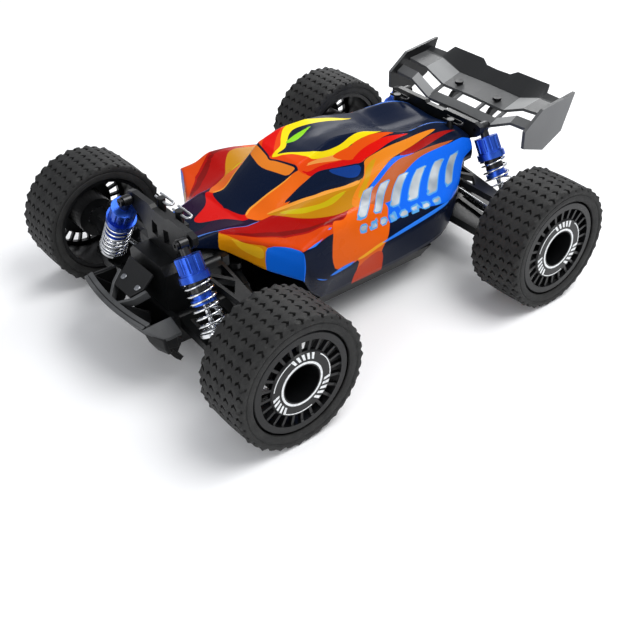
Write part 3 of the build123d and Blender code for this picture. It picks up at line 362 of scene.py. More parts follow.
# ---- body shell ---------------------------------------------------------------------------
# Stations: distance behind the front axle, then from the middle line to the lower edge nine
# points (Y, Z): centre, inner ridge, crest, glass foot, valley, pod top, pod crest, side
# ridge and lower edge.
STATIONS = [
    (3.0, [(0, 70.2), (7, 70.6), (14, 71), (15, 70.8), (15.7, 70.4), (16.2, 69.8), (16.5, 69),
           (16.7, 68.2), (16.8, 67.2)]),
    (16.0, [(0, 71.0), (8, 71.4), (16.5, 72.4), (17.6, 71.8), (18.6, 70.8), (19.2, 69.6),
            (19.6, 68), (19.8, 65.5), (19.8, 62.5)]),
    (25.0, [(0, 71.6), (9, 72), (18.6, 73), (20.5, 72.2), (22.5, 70.8), (24.5, 69.4), (26.5, 67.5),
            (27.5, 63), (27.5, 57)]),
    (33.0, [(0, 72.3), (11, 72.4), (20.8, 73), (23, 72), (27, 70.4), (32, 69.5), (39, 69),
            (41.5, 64), (41.5, 52.5)]),
    (42.5, [(0, 77.6), (9, 76.9), (14, 75.4), (22.6, 73), (28, 70.8), (38, 70), (59, 71), (59.4, 61),
            (58.6, 51)]),
    (52.0, [(0, 83.8), (9, 83.2), (15.6, 81.2), (23.8, 77), (28, 72), (38, 71.4), (58, 73.4),
            (59.6, 50), (53, 36)]),
    (61.0, [(0, 89.4), (9, 88.8), (17, 86.4), (24, 80), (27.5, 73.5), (38, 72.4), (57.6, 77.4),
            (59, 46.5), (50.5, 27.5)]),
    (71.0, [(0, 93.8), (9, 94.2), (18, 94.0), (22.6, 83), (26.4, 74), (37, 73.4), (56, 77),
            (58, 46.8), (50.2, 27)]),
    (84.0, [(0, 95.6), (9, 96.6), (17.8, 97.6), (20.6, 86.6), (25.2, 73.6), (36, 73.5),
            (53.6, 75), (57.2, 47.5), (50, 27)]),
    (98.4, [(0, 96.6), (8, 98), (15, 99.6), (20.4, 84.6), (25, 72.4), (35, 73), (50, 72.4),
            (57, 50.5), (50, 27)]),
    (113.0, [(0, 95.2), (8, 96.8), (15, 98), (21, 83), (25.5, 74), (33, 74), (44, 70), (56.5, 52),
             (50, 27)]),
    (132.0, [(0, 90), (8, 92.6), (15.4, 93.4), (22, 85), (27, 79), (32, 76.6), (40, 69), (56, 54),
             (49.5, 27.2)]),
    (152.0, [(0, 81), (8, 84), (19.6, 89.4), (24, 86), (28, 81.6), (32, 78.4), (39, 70),
             (54.5, 55.8), (48.5, 29)]),
    (166.0, [(0, 80.2), (8, 82.8), (19.5, 89.2), (24, 85.6), (28.5, 82), (32.8, 79.2), (38.4, 71),
             (48, 57), (45.5, 36)]),
    (172.5, [(0, 80), (8, 82.4), (19.5, 88.2), (24, 84.8), (28.6, 81.6), (33, 79), (37.6, 71),
             (44, 60), (43, 48)]),
    (183.0, [(0, 79.8), (8, 82), (20, 84.6), (25, 82.6), (29.4, 81.2), (32.6, 79.6), (36, 72.4),
             (37, 68), (36.4, 64.8)]),
    (190.8, [(0, 78.6), (8, 79.8), (20, 80.6), (26, 79.6), (30.6, 78.6), (33, 77), (35, 72.4),
             (35.6, 68), (35, 64.4)]),
]
BREAKS = {0: (33, 71), 1: (33, 71), 2: (33, 71), 5: (42.5,), 6: (42.5, 172.5), 7: (42.5, 172.5),
          8: (42.5, 61, 172.5)}
SOFTNESS = (5, 4, 1, 2, 4, 4, 2, 1, 0)      # how widely each line's edge is rounded
STEPS = 8                                   # samples from one line to the next
LINES = 9                                   # long lines on half the shell
SPACING = 1.6                               # between samples along the shell
CLOSEST = 0.35                              # samples nearer than this become one
SHELL_WALL = 0.9


def monotone(x, y, at):
    """Smooth interpolation that never overshoots its points."""
    h = np.diff(x)
    d = np.diff(y) / h
    slope = np.zeros(len(x))
    slope[0], slope[-1] = d[0], d[-1]
    for i in range(1, len(x) - 1):
        if d[i - 1] * d[i] > 0:
            w1, w2 = 2 * h[i] + h[i - 1], h[i] + 2 * h[i - 1]
            slope[i] = (w1 + w2) / (w1 / d[i - 1] + w2 / d[i])
    i = np.clip(np.searchsorted(x, at, side="right") - 1, 0, len(x) - 2)
    t = (at - x[i]) / h[i]
    return ((1 + 2 * t) * (1 - t) ** 2 * y[i] + t * (1 - t) ** 2 * h[i] * slope[i]
            + t * t * (3 - 2 * t) * y[i + 1] + t * t * (t - 1) * h[i] * slope[i + 1])


def shell_line(number, axis, at):
    """One long line of the shell: its Y (axis 0) or Z (axis 1) at distances behind the axle."""
    behind = np.array([s[0] for s in STATIONS])
    value = np.array([s[1][number][axis] for s in STATIONS], float)
    cuts = [behind[0] - 1, *BREAKS.get(number, ()), behind[-1] + 1]
    made = np.zeros(len(at))
    for low, high in zip(cuts, cuts[1:]):
        stations = (behind >= low) & (behind <= high)
        here = (at >= low) & (at <= high)
        made[here] = monotone(behind[stations], value[stations], at[here])
    return made


def shell_half():
    """Half the shell as a grid of points, with each point's place along and across it."""
    marks = sorted({s[0] for s in STATIONS})
    along = np.unique(np.concatenate([np.arange(marks[0], marks[-1], SPACING), marks]).round(2))
    along = along[np.concatenate([[True], np.diff(along) > CLOSEST])]
    across = np.arange(0, (LINES - 1) * STEPS + 1) / STEPS
    lines = np.stack([np.stack([shell_line(j, axis, along) for j in range(LINES)], 1)
                      for axis in (0, 1)], 2)
    whole = np.minimum(across.astype(int), LINES - 2)
    part = (across - whole)[None, :, None]
    dense = lines[:, whole] * (1 - part) + lines[:, whole + 1] * part
    mirrored = dense[:, :0:-1] * np.array([-1, 1])
    both = np.concatenate([mirrored, dense], 1)
    middle = len(across) - 1
    reach = np.interp(across, range(LINES), SOFTNESS)
    rounded = np.empty_like(dense)
    for k in range(len(across)):
        wide = min(int(round(reach[k])), middle - k)
        rounded[:, k] = both[:, middle + k - wide:middle + k + wide + 1].mean(1)
    x = FRONT_X - np.repeat(along[:, None], len(across), 1)
    points = np.stack([x, rounded[..., 0], rounded[..., 1]], 2)
    return points, along, across


def inside_by(points, outline):
    """Signed distance to a closed outline: above 0 inside it."""
    outline = np.asarray(outline, float)
    nearest = np.full(len(points), 1e9)
    inside = np.zeros(len(points), bool)
    for a, b in zip(outline, np.roll(outline, -1, 0)):
        edge = b - a
        share = np.clip(((points - a) @ edge) / max(edge @ edge, 1e-9), 0, 1)
        nearest = np.minimum(nearest, np.hypot(*(points - a - share[:, None] * edge).T))
        if a[1] != b[1]:
            crosses = (a[1] > points[:, 1]) != (b[1] > points[:, 1])
            at = a[0] + (points[:, 1] - a[1]) * edge[0] / edge[1]
            inside ^= crosses & (points[:, 0] < at)
    return np.where(inside, nearest, -nearest)


CURVE_PIECES = 4            # straight pieces from one outline point to the next


def curved(outline):
    """A closed smooth curve through the outline's points."""
    p = np.asarray(outline, float)
    made = []
    for i in range(len(p)):
        a, b, c, d = p[i - 1], p[i], p[(i + 1) % len(p)], p[(i + 2) % len(p)]
        for t in np.arange(CURVE_PIECES) / CURVE_PIECES:
            made.append(0.5 * (2 * b + (c - a) * t + (2 * a - 5 * b + 4 * c - d) * t * t
                               + (3 * b - a - 3 * c + d) * t ** 3))
    return made


# Paint layers, from the bottom up: name, colour, sides, outline as (behind the axle, line
# across). Most are the shell's livery; those noted below are painted highlights and a
# painted reflection. "both" lays the outline on the left side and mirrors it; "once" counts
# the lines from the middle, left above 0.
ACROSS = 9.0             # one line across counts as this many millimetres in an outline
LAYERS = [
    ("nose_red", "e00500", "both", [
        (14.6, -1), (14.6, 0.1), (18, 0.5), (27.5, 1.0), (33, 1.7), (40.2, 3.08), (37.1, 1.7),
        (36, 1.2), (38, -1)]),
    ("nose_purple", "22062c", "both", [
        (3, 1.2), (12, 1.15), (20, 0.75), (27.5, 1.05), (33, 1.75), (39.8, 3.08), (21.4, 2.45),
        (12.3, 1.95), (3, 1.9)]),
    # painted highlight: a thin pale blue line along the side edge of the nose
    ("nose_edge_highlight", "4f7fd6", "both", [
        (2, 1.8), (12.3, 1.9), (21.4, 2.42), (39.5, 3.1), (39, 3.2), (21, 2.62), (12, 2.12), (2, 2)]),
    ("pod_orange", "e04600", "both", [
        (17.5, 3.1), (25, 5.95), (33, 6.5), (42.9, 6.14), (63.3, 6.17), (74, 6.1), (84, 5.8),
        (84, 5.2), (60, 4.2), (40, 3.2)]),
    ("pod_red", "b00400", "both", [
        (17.5, 2.9), (21.4, 2.6), (39.3, 3.15), (46, 3.1), (57.5, 4.3), (67.1, 5.3), (82, 5.4),
        (88, 5.6), (82.7, 5.95), (73.7, 6.04), (65.4, 5.95), (52.5, 5.6), (40.7, 5.15), (29.7, 5.0),
        (21, 4.2)]),
    ("pod_shade", "860300", "both", [
        (24, 4.2), (34, 4.35), (46, 4.9), (60, 5.6), (76, 5.85), (66, 5.9), (52.5, 5.5),
        (40.7, 5.02), (30, 4.85)]),
    ("face_orange", "f09c06", "both", [
        (17, 3.6), (19, 4.0), (25.1, 6.0), (29, 6.3), (33, 6.5), (33, 8.5), (17, 8.5)]),
    ("face_glow", "ffc41e", "both", [
        (22, 5.6), (25.4, 6.1), (29, 6.42), (31.2, 6.6), (31.2, 7.4), (27, 7.3), (24, 6.8)]),
    ("face_blue", "0a78ff", "both", [(33, 6.48), (42.3, 6.16), (42.3, 8.5), (33, 8.5)]),
    ("side_orange", "f06406", "both", [
        (65.4, 5.9), (63, 6.86), (79.5, 7.04), (83, 7.1), (86, 8.5), (105, 8.5), (101, 7.3),
        (103.5, 7.0), (108.8, 6.6), (111, 6.2), (100, 5.6), (84.5, 5.6), (74, 5.95)]),
    ("side_ember", "d23a04", "both", [(84, 7.35), (101.5, 7.3), (105, 8.5), (86, 8.5)]),
    ("pillar", "f26c12", "both", [
        (39.6, 3.0), (36.4, 1.75), (50, 1.8), (64.4, 2.0), (70, 2.1), (79.8, 2.7), (80, 3.1),
        (62, 3.2), (53, 3.6), (47, 3.3)]),
    ("pillar_glow", "ffa83a", "both", [
        (37.4, 1.72), (50, 1.82), (64.4, 2.05), (65.5, 2.16), (50, 2.02), (38.5, 1.95)]),
    ("ochre", "c98a06", "both", [
        (46, 3.0), (58.5, 3.5), (78.4, 3.95), (105.9, 4.1), (112, 4.0), (100, 5.3), (85.1, 5.62),
        (71.2, 5.6), (61.4, 5.0), (54, 4.1)]),
    # painted highlight: a yellow-olive streak on the ochre band
    ("olive_highlight", "cdb80a", "both", [
        (52, 3.5), (66.5, 4.26), (78, 4.55), (91.9, 4.36), (96, 4.42), (80.5, 4.94), (66, 4.69),
        (57.4, 4.15)]),
    ("roof_front", "f04a06", "both", [
        (65.6, -1), (66, 0), (67, 0.49), (70, 2.2), (79.8, 3.0), (92, 2.98), (107, 3.06),
        (116, 3.1), (121, 2.6), (114, 2.2), (101, 2.5), (84, -1)]),
    ("roof_red", "dc0a02", "both", [
        (71, 2.2), (77.4, 2.72), (92.4, 2.82), (106.9, 2.86), (117.5, 3.0), (114, 3.12),
        (105.9, 3.1), (91.7, 3.04), (78.5, 3.04)]),
    ("roof_ember", "e60800", "once", [
        (66.4, -0.3), (70, -1.5), (80, -2.2), (86, -1.9), (79, -1.3), (73.5, -0.7), (69, -0.2)]),
    ("roof_pale", "f9a24c", "both", [
        (74, 2.25), (85.8, 2.46), (97, 2.58), (110, 2.8), (96.1, 2.8), (83.7, 2.62)]),
    ("sill", "f9a63c", "both", [
        (46.2, 2.95), (55.9, 3.28), (73, 3.78), (80.2, 3.9), (95, 3.98), (108, 4.04), (106, 4.3),
        (95, 4.16), (78.4, 4.08), (58.5, 3.6), (48, 3.15)]),
    ("window", "001433", "both", [
        (56.4, 3.1), (62, 2.96), (68.8, 2.93), (79.8, 2.98), (91.5, 3.04), (105.9, 3.08),
        (111.6, 3.12), (113.9, 3.3), (113, 3.6), (108.6, 3.9), (95.6, 3.8), (73.5, 3.68), (63, 3.36)]),
    # painted reflection: a brighter blue patch towards the back of the side window
    ("window_reflection", "0d3f93", "both", [
        (90, 3.1), (105.9, 3.14), (110.8, 3.18), (112.4, 3.32), (111.6, 3.56), (107.6, 3.78),
        (99, 3.5)]),
    ("windshield", "00112e", "both", [
        (33.6, -1), (33.8, 0.2), (35, 1.15), (36.4, 1.62), (38.4, 1.72), (64.4, 2.1), (69, 2.2),
        (70.4, 2.1), (67.4, 0.49), (66, 0), (66, -1)]),
    ("sun_strip", "f08524", "both", [
        (59.6, -1), (59.8, 0.2), (60.6, 0.7), (63.6, 1.8), (65, 2.0), (68.2, 2.04), (68.9, 1.9),
        (66.3, 0.5), (65, 0), (65, -1)]),
    ("band", "f08a1a", "both", [
        (87.7, 5.49), (109.8, 4.16), (114.6, 3.5), (116.6, 3.1), (127.4, 3.0), (141.9, 2.9),
        (157.5, 2.74), (170, 2.9), (150.5, 3.6), (139, 3.8), (131.2, 3.94), (117.1, 4.68),
        (99.6, 5.3), (92, 5.7)]),
    ("band_gold", "d8a010", "both", [
        (97, 5.2), (110.5, 4.3), (116.2, 3.5), (124, 3.25), (118, 3.9), (112, 4.6), (101, 5.25)]),
    ("rear_blue", "0a6cf5", "both", [
        (98.1, 5.55), (113.2, 4.85), (131.2, 3.98), (138.4, 4.0), (158.2, 4.82), (182.4, 4.89),
        (192, 5.1), (192, 6.1), (182, 6.9), (172.4, 7.1), (150, 6.95), (132.5, 6.72), (120, 6.66),
        (107.5, 6.62), (111.3, 6.2), (104, 5.9)]),
    ("rear_copper", "bf5f2c", "both", [
        (97.1, 5.6), (118, 5.0), (135.2, 4.3), (143.8, 4.4), (159.2, 4.5), (178, 4.7),
        (165.6, 4.91), (149.6, 4.98), (135.4, 5.39), (123.1, 5.94), (116.5, 6.15), (103, 6.0)]),
    ("shoulder_red", "a80a06", "both", [
        (138, 3.9), (150.5, 3.62), (166, 3.3), (184, 3.3), (172, 3.8), (158, 4.25), (146, 4.35)]),
    ("roof_yellow", "ffe60a", "once", [
        (67.1, 0.0), (74.7, 0.9), (79.2, 2.15), (89.6, 2.52), (101.2, 2.55), (113.4, 2.3),
        (134, 2.0), (150, 1.6), (150, -1), (128, -1.1), (114, -1.5), (97.7, -1.95), (88.4, -1.85),
        (80.8, -1.1), (75.3, -0.4)]),
    ("roof_glass", "00112e", "once", [
        (70, 0.12), (74.5, 0.55), (78.6, 1.2), (84, 2.0), (92, 2.3), (101.6, 2.3), (112, 2.05),
        (121.6, 1.88), (134, 2.0), (153.9, 2.14), (192, 3.0), (192, -3), (160, -2.6), (129.4, -1.0),
        (108.1, -1.12), (92.5, -1.28), (86, -1.0), (81.1, -0.5), (76, 0.0)]),
    ("roof_lime", "8fdc14", "once", [
        (79.2, -0.42), (84, -0.16), (90, -0.3), (95, -0.6), (101, -0.95), (93, -0.8), (86, -0.66)]),
    ("flame_orange", "f05404", "both", [
        (95, 2.62), (108.5, 2.42), (118.2, 2.24), (128.5, 2.1), (142, 2.1), (126.5, 2.52),
        (115.9, 2.73), (106.5, 2.9)]),
    ("flame_red", "e80c00", "both", [
        (108.2, 2.92), (115.2, 2.66), (127, 2.48), (138.3, 2.34), (152, 2.3), (132, 2.84),
        (121.8, 3.0), (114.6, 3.04)]),
    # painted highlight: a thin pale blue line along each ridge of the rear deck
    ("deck_ridge_highlight", "2f74e0", "both", [
        (144, 2.3), (161, 1.98), (189, 1.96), (189, 2.08), (161, 2.1)]),
    # painted highlights along the lower side crease: pale blue at the front and back, gold over the
    # orange
    ("crease_front_highlight", "2f86ff", "both", [(47, 7.2), (63, 6.98), (79.5, 7.0), (79.5, 7.1), (63, 7.1)]),
    ("crease_gold_highlight", "ffb020", "both", [(83, 6.98), (103, 6.98), (103, 7.09), (83, 7.09)]),
    ("crease_rear_highlight", "2f86ff", "both", [(103.5, 6.98), (150, 6.96), (150, 7.07), (103.5, 7.09)]),
    # painted highlight: a thin pale blue line along the top corner of the side pod
    ("pod_corner_highlight", "2f86ff", "both", [
        (44, 6.14), (54, 6.06), (62, 5.98), (66, 5.8), (62.6, 6.05), (54, 6.14), (45, 6.2)]),
]


def side_marks():
    """Generic silver marks on the shell's flank: leaning bars over a row of dashes."""
    foot = [(83, 6.1), (97, 6.18), (113, 6.3), (127.5, 6.4), (142, 6.5), (157, 6.6)]
    head = [(104, 5.06), (116.5, 5.27), (130.4, 5.43), (143.8, 5.57), (158, 5.66), (171, 5.74)]
    marks = []
    for (low_b, low_s), (high_b, high_s) in zip(foot, head):
        marks.append([(low_b, low_s), (high_b, high_s), (high_b + 7.5, high_s + 0.03),
                      (low_b + 7.5, low_s + 0.04)])
    for k in range(8):
        b, s = 84 + 8.4 * k, 6.32 + 0.055 * k
        marks.append([(b, s + 0.12), (b + 1.2, s), (b + 6.6, s + 0.03), (b + 5.4, s + 0.15)])
    return marks


BASE_PAINT = "000e2a"
MARK_EDGE = "58a8ea"
MARK_SILVER = ("8f9aa4", "dfe6ea")
DEPTH_OF_TONE = (0.8, 0.8, 0.8, 1.0)         # darkens all the paint evenly


def body_paint():
    """The layers over dark blue, each from its own mesh attribute, then the silver marks."""
    paint = Paint("shell_paint", Specular_IOR_Level=0.05, Coat_Weight=0.03, Coat_Roughness=0.06)
    tone = srgb(BASE_PAINT)
    for name, colour, _, _ in LAYERS:
        share = paint.spread(paint.attribute(name), 0.0, 1.0, -0.06, 0.06)
        tone = paint.mix(share, tone, srgb(colour))
    mark = paint.attribute("marks")
    tone = paint.mix(paint.spread(mark, 0.0, 1.0, -0.42, -0.3), tone, srgb(MARK_EDGE))
    uneven = paint.spread(paint.noise(60.0, 2.0), 0.0, 1.0)
    silver = paint.mix(uneven, srgb(MARK_SILVER[0]), srgb(MARK_SILVER[1]))
    tone = paint.mix(paint.spread(mark, 0.0, 1.0, -0.05, 0.1), tone, silver)
    tone = paint.mix(1.0, tone, DEPTH_OF_TONE, "MULTIPLY")
    flakes = paint.noise(2600.0, 1.0)
    paint.colour(paint.mix(paint.spread(flakes, 0.0, 0.006), tone, srgb("ffffff")))
    cloud = paint.noise(30.0, 3.0)
    paint.roughness(paint.spread(cloud, 0.24, 0.36))
    paint.bump(cloud, 0.0002, 0.2)
    return paint.material


def add_field(made, name, value):
    """Stores one number at each point of a mesh, for its material to read."""
    field = made.data.attributes.new(name, "FLOAT", "POINT")
    field.data.foreach_set("value", value.astype(np.float32))


def body_shell():
    points, along, across = shell_half()
    right = points[:, :0:-1] * np.array([1, -1, 1])
    grid = np.concatenate([right, points], 1)
    rows, columns = grid.shape[:2]
    made = piece("painted_shell", grid.reshape(-1, 3), grid_faces(rows, columns),
                 [body_paint(), MATERIALS["suspension_plastic"]], "root")
    signed = np.concatenate([-across[:0:-1], across])

    def spots(lines):
        """Every point's place along the shell and across it, both in outline units."""
        return np.stack(np.meshgrid(along, lines * ACROSS, indexing="ij"), 2).reshape(-1, 2)

    for name, _, sides, outline in LAYERS:
        lines = np.abs(signed) if sides == "both" else signed
        closed = np.array(curved([(b, s * ACROSS) for b, s in outline]))
        add_field(made, name, inside_by(spots(lines), closed))
    marks = [inside_by(spots(np.abs(signed)), [(b, s * ACROSS) for b, s in outline])
             for outline in side_marks()]
    add_field(made, "marks", np.max(marks, 0))
    wall = made.modifiers.new("wall", "SOLIDIFY")
    wall.thickness = SHELL_WALL * MM
    wall.offset = -1
    wall.material_offset = 1
    sharpen(made, 38)
    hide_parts("body_shell")


# ---- wheels -------------------------------------------------------------------------------
TYRE_RADIUS = 38.0
TREAD_ROWS = 38
TREAD_PITCH = 6.0            # from one notch to the next, across the tread
NOTCH_DEPTH = 1.5
NOTCH_HALF = 1.8             # half a notch's width across the tread
NOTCH_SWEEP = 1.5            # how far a V of the tread leans round the tyre
CROWN_FALL = 0.0022          # the tread's fall, times the distance across squared
TYRE_WALL = 1.6


def tyre_profile():
    """Half-section from the inner bead over the tread to the outer bead: (across, radius)."""
    side = [(15.6, 29.2), (16.4, 29.6), (16.9, 30.6), (17.1, 32.0), (17.0, 33.2), (16.7, 33.6),
            (16.9, 34.1), (17.3, 34.6), (17.35, 35.6), (17.0, 36.6), (16.6, 37.2)]
    inner = [(-a, r) for a, r in side]
    spots = sorted(k * TREAD_PITCH / 2 + d for k in range(-5, 6) for d in (-1.3, -1.1, 0, 1.1, 1.3))
    tread = [(a, 37.85 - CROWN_FALL * a * a) for a in spots if abs(a) < 16.3]
    return np.array(inner + tread + side[::-1])


def tyre_points():
    """Carcass with staggered V-shaped notches; across, round and radius for each point."""
    across, radius = tyre_profile().T
    pitch = 2 * math.pi * TYRE_RADIUS / TREAD_ROWS
    steps = np.array([-0.5, -0.27, -0.15, -0.1, 0.1, 0.15, 0.27]) * pitch
    notch = np.array([0, 0, 0, 1, 1, 0, 0], float)
    # 1 at the odd multiples of half a pitch across the tread, 0 at the even ones
    phase = np.abs((across / TREAD_PITCH - 0.5) % 1.0 - 0.5) * 2
    in_tread = radius > 37.0
    shoulder = np.clip((np.abs(across) - 13.5) / 2.5, 0, 1)
    rows = []
    for row in range(TREAD_ROWS):
        stagger = 0.5 if row % 2 == 0 else 0.0
        off_notch = np.abs((across / TREAD_PITCH - stagger + 0.5) % 1.0 - 0.5) * TREAD_PITCH
        for step, deep in zip(steps, notch):
            round_at = row * pitch + step
            wave = (2 * phase - 1) * math.cos(math.pi * round_at / pitch)
            depth = deep * NOTCH_DEPTH * (off_notch < NOTCH_HALF) * in_tread
            block = math.cos(2 * math.pi * step / pitch) * (1 if row % 2 else 0.3)
            crown = -(0.08 + 0.75 * shoulder) * block * (radius > 36.5)
            turn = (round_at - NOTCH_SWEEP * wave * in_tread) / TYRE_RADIUS
            rows.append(np.stack([across, turn, radius - depth + crown], 1))
    return np.array(rows)


def tyres():
    rows = tyre_points()
    across, turn, radius = rows[..., 0], rows[..., 1], rows[..., 2]
    faces = grid_faces(*rows.shape[:2], close_rows=True)
    for corner in CORNERS:
        side = side_of(corner)
        x, y, z = WHEEL[corner]
        points = np.stack([x + radius * np.sin(turn), y + side * across,
                           z + radius * np.cos(turn)], 2).reshape(-1, 3)
        order = [f[::-1] for f in faces] if side > 0 else faces
        made = piece(corner + "_ribbed_tyre", points, order, [MATERIALS["tyre"]],
                     corner + "_wheel")
        sharpen(made, 32)
        wall = made.modifiers.new("wall", "SOLIDIFY")
        wall.thickness = TYRE_WALL * MM
        wall.offset = -1
        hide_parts(corner + "_tyre")


PRINT_HEIGHT = 0.12
PRINT_FACE = 15.8            # the rim's printed face, outboard of the wheel's middle
ARC_STEPS = 96               # straight pieces in a full printed ring
RING = (11.35, 12.55)        # inner and outer radius of each print
BAR = (13.9, 17.5)
THIN_ARC = (16.9, 17.4)
BAR_PITCH = 10.6             # degrees
BAR_WIDTH = 5.6              # degrees
BAR_LEAN = 5.0               # degrees from a bar's foot to its head


def ring_strip(radii, start, end, lean=0.0):
    """A thin printed arc in the wheel's plane: points (along -X, up, outboard) and faces."""
    inner, outer = radii
    points, faces = [], []
    count = max(2, int(abs(end - start) / 360 * ARC_STEPS) + 1)
    for i, angle in enumerate(np.radians(np.linspace(start, end, count))):
        for radius, out, turned in ((inner, 0.0, 0), (inner, PRINT_HEIGHT, 0),
                                    (outer, PRINT_HEIGHT, lean), (outer, 0.0, lean)):
            at = angle + math.radians(turned)
            points.append((radius * math.cos(at), radius * math.sin(at), out))
        if i:
            for k in range(4):
                a, b = 4 * (i - 1), 4 * i
                faces.append((a + k, b + k, b + (k + 1) % 4, a + (k + 1) % 4))
    last = 4 * (count - 1)
    faces += [(0, 1, 2, 3), (last + 3, last + 2, last + 1, last)]
    return points, faces


def rim_marks():
    """White ring, three groups of slanted bars and three thin arcs printed on each rim."""
    strips = [ring_strip(RING, 0, 360)]
    for middle in (84, -36, -156):
        for bar in range(5):
            start = middle - 25 + bar * BAR_PITCH
            strips.append(ring_strip(BAR, start, start + BAR_WIDTH, BAR_LEAN))
        strips.append(ring_strip(THIN_ARC, middle - 91, middle - 35))
    for corner in CORNERS:
        side = side_of(corner)
        x, y, z = WHEEL[corner]
        points, faces = [], []
        for own, own_faces in strips:
            faces += [tuple(len(points) + k for k in f) for f in own_faces]
            points += [(x - side * left, y + side * (PRINT_FACE + out), z + up)
                       for left, up, out in own]
        piece(corner + "_rim_print", points, faces, [WHITE_INK], corner + "_wheel",
              smooth=False)


# ---- shock absorbers ------------------------------------------------------------------------
# At each end: plane ahead of the axle, upper eye's Y and Z, length from eye to eye, tilt in
# degrees, and how much the damper shortens over the travel.
SHOCKS = {"front": (10.5, 27.8, 81.0, 54.19, 30.84, 7.0), "rear": (-12.5, 34.0, 82.0, 56.06, 30.65, 8.4)}
SPRING_TOP = 20.3            # down the damper, from the upper eye
SPRING_FOOT = 8.1            # up the damper, from the lower eye
SPRING_RADIUS = 7.3
SPRING_TURNS = 7.2
WIRE = 0.62                  # the wire's radius
WIRE_SIDES = 10
STEPS_PER_TURN = 40
END_COIL = 0.09              # share of the wire in each closed end
END_PITCH = 1.6              # rise of a closed end, in wire radii


def shock_axis(corner):
    """Upper pivot, unit vectors down the damper and across it, and its length from eye to eye."""
    end = corner.split("_")[0]
    side = side_of(corner)
    ahead, y, z, length, tilt, _ = SHOCKS[end]
    x = (FRONT_X if end == "front" else REAR_X) + ahead
    slope = math.radians(tilt)
    down = np.array([0, side * math.sin(slope), -math.cos(slope)])
    return np.array([x, side * y, z]), down, np.cross(down, (1, 0, 0)), length


def damper_finish(corner):
    """Black eyelet and damper tube, blue anodised cap, collar and end nut, by depth."""
    top, down, _, _ = shock_axis(corner)
    paint = Paint(corner + "_damper_finish")
    depth = paint.node("ShaderNodeVectorMath", operation="DOT_PRODUCT")
    paint.join(paint.place, depth.inputs[0])
    depth.inputs[1].default_value = tuple(down)
    below = paint.sum("SUBTRACT", depth.outputs["Value"], float(top @ down) * MM)
    upper = paint.sum("MULTIPLY", paint.spread(below, 0.0, 1.0, 0.0062, 0.0063),
                      paint.spread(below, 1.0, 0.0, 0.0197, 0.0198))
    blue = paint.sum("MAXIMUM", upper, paint.spread(below, 0.0, 1.0, 0.0258, 0.0259))
    cloud = paint.noise(60.0, 3.0)
    shine = paint.mix(paint.spread(cloud, 0.0, 1.0), srgb("16389c"), srgb("3f6fe0"))
    paint.colour(paint.mix(blue, srgb("0b0b0c"), shine))
    paint.join(paint.sum("MULTIPLY", blue, 0.85), paint.shader.inputs["Metallic"])
    paint.roughness(paint.spread(cloud, 0.22, 0.36))
    return paint.material


def tube_faces(count, ring):
    faces = grid_faces(count, ring, close_columns=True)
    faces.append(tuple(range(ring)))
    faces.append(tuple((count - 1) * ring + k for k in reversed(range(ring))))
    return faces


def springs():
    """Real coils with closed ends, each riding on its damper."""
    ahead = np.array([1.0, 0, 0])
    count = int(SPRING_TURNS * STEPS_PER_TURN) + 1
    share = np.linspace(0, 1, count)
    angle = 2 * math.pi * SPRING_TURNS * share
    end_rise = WIRE * END_PITCH
    for corner in CORNERS:
        top, down, across, length = shock_axis(corner)
        free = length - SPRING_FOOT - SPRING_TOP
        open_share = np.clip((share - END_COIL) / (1 - 2 * END_COIL), 0, 1)
        climb = open_share * (free - 2 * end_rise) + end_rise * np.clip(share / END_COIL, 0, 1)
        climb += end_rise * np.clip((share - 1 + END_COIL) / END_COIL, 0, 1)
        out = np.outer(np.cos(angle), ahead) + np.outer(np.sin(angle), across)
        centre = top + np.outer(SPRING_TOP + climb, down) + SPRING_RADIUS * out
        points = []
        for k in range(count):
            for t in np.arange(WIRE_SIDES) * 2 * math.pi / WIRE_SIDES:
                points.append(centre[k] + WIRE * (math.cos(t) * out[k] + math.sin(t) * down))
        made = piece(corner + "_coil_spring", points, tube_faces(count, WIRE_SIDES),
                     [MATERIALS["spring_steel"]], corner + "_damper")
        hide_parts(corner + "_shock_spring")
        tuple(down)
        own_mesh(made)


# ---- front bumper ---------------------------------------------------------------------------
def strap(points_a, points_b, thick, normal):
    """A band between two lines of points, with a thickness along a direction."""
    a, b = np.array(points_a, float), np.array(points_b, float)
    shift = np.array(normal, float) * thick
    rows = np.stack([a, b, b + shift, a + shift], 1)
    faces = grid_faces(len(rows), 4, close_columns=True)
    last = 4 * (len(rows) - 1)
    faces += [(3, 2, 1, 0), (last, last + 1, last + 2, last + 3)]
    return rows.reshape(-1, 3), faces


GUARD_BACK = FRONT_X + 20.2
GUARD_HALF = 30.5            # half the guard's width at its scoop
GUARD_TOP = 42.5
BRACE_FACE = (-0.4, 0, -0.92)    # down and back, square to the sloping brace
BLACK, RIM = 0, 1            # the guard's two materials


def bumper_section(y):
    """The guard's outer line at a distance from the middle: (ahead of its back edge, Z)."""
    reach = 23.4 - 0.0035 * y * y
    return [(0, 12.2), (2.8, 15.4), (reach * 0.34, 21.5), (reach * 0.58, 28.5),
            (reach * 0.81, 35.5), (reach, GUARD_TOP)]


def from_back(*spots):
    """Points given as (ahead of the guard's back edge, Y, Z)."""
    return np.array([(GUARD_BACK + x, y, z) for x, y, z in spots])


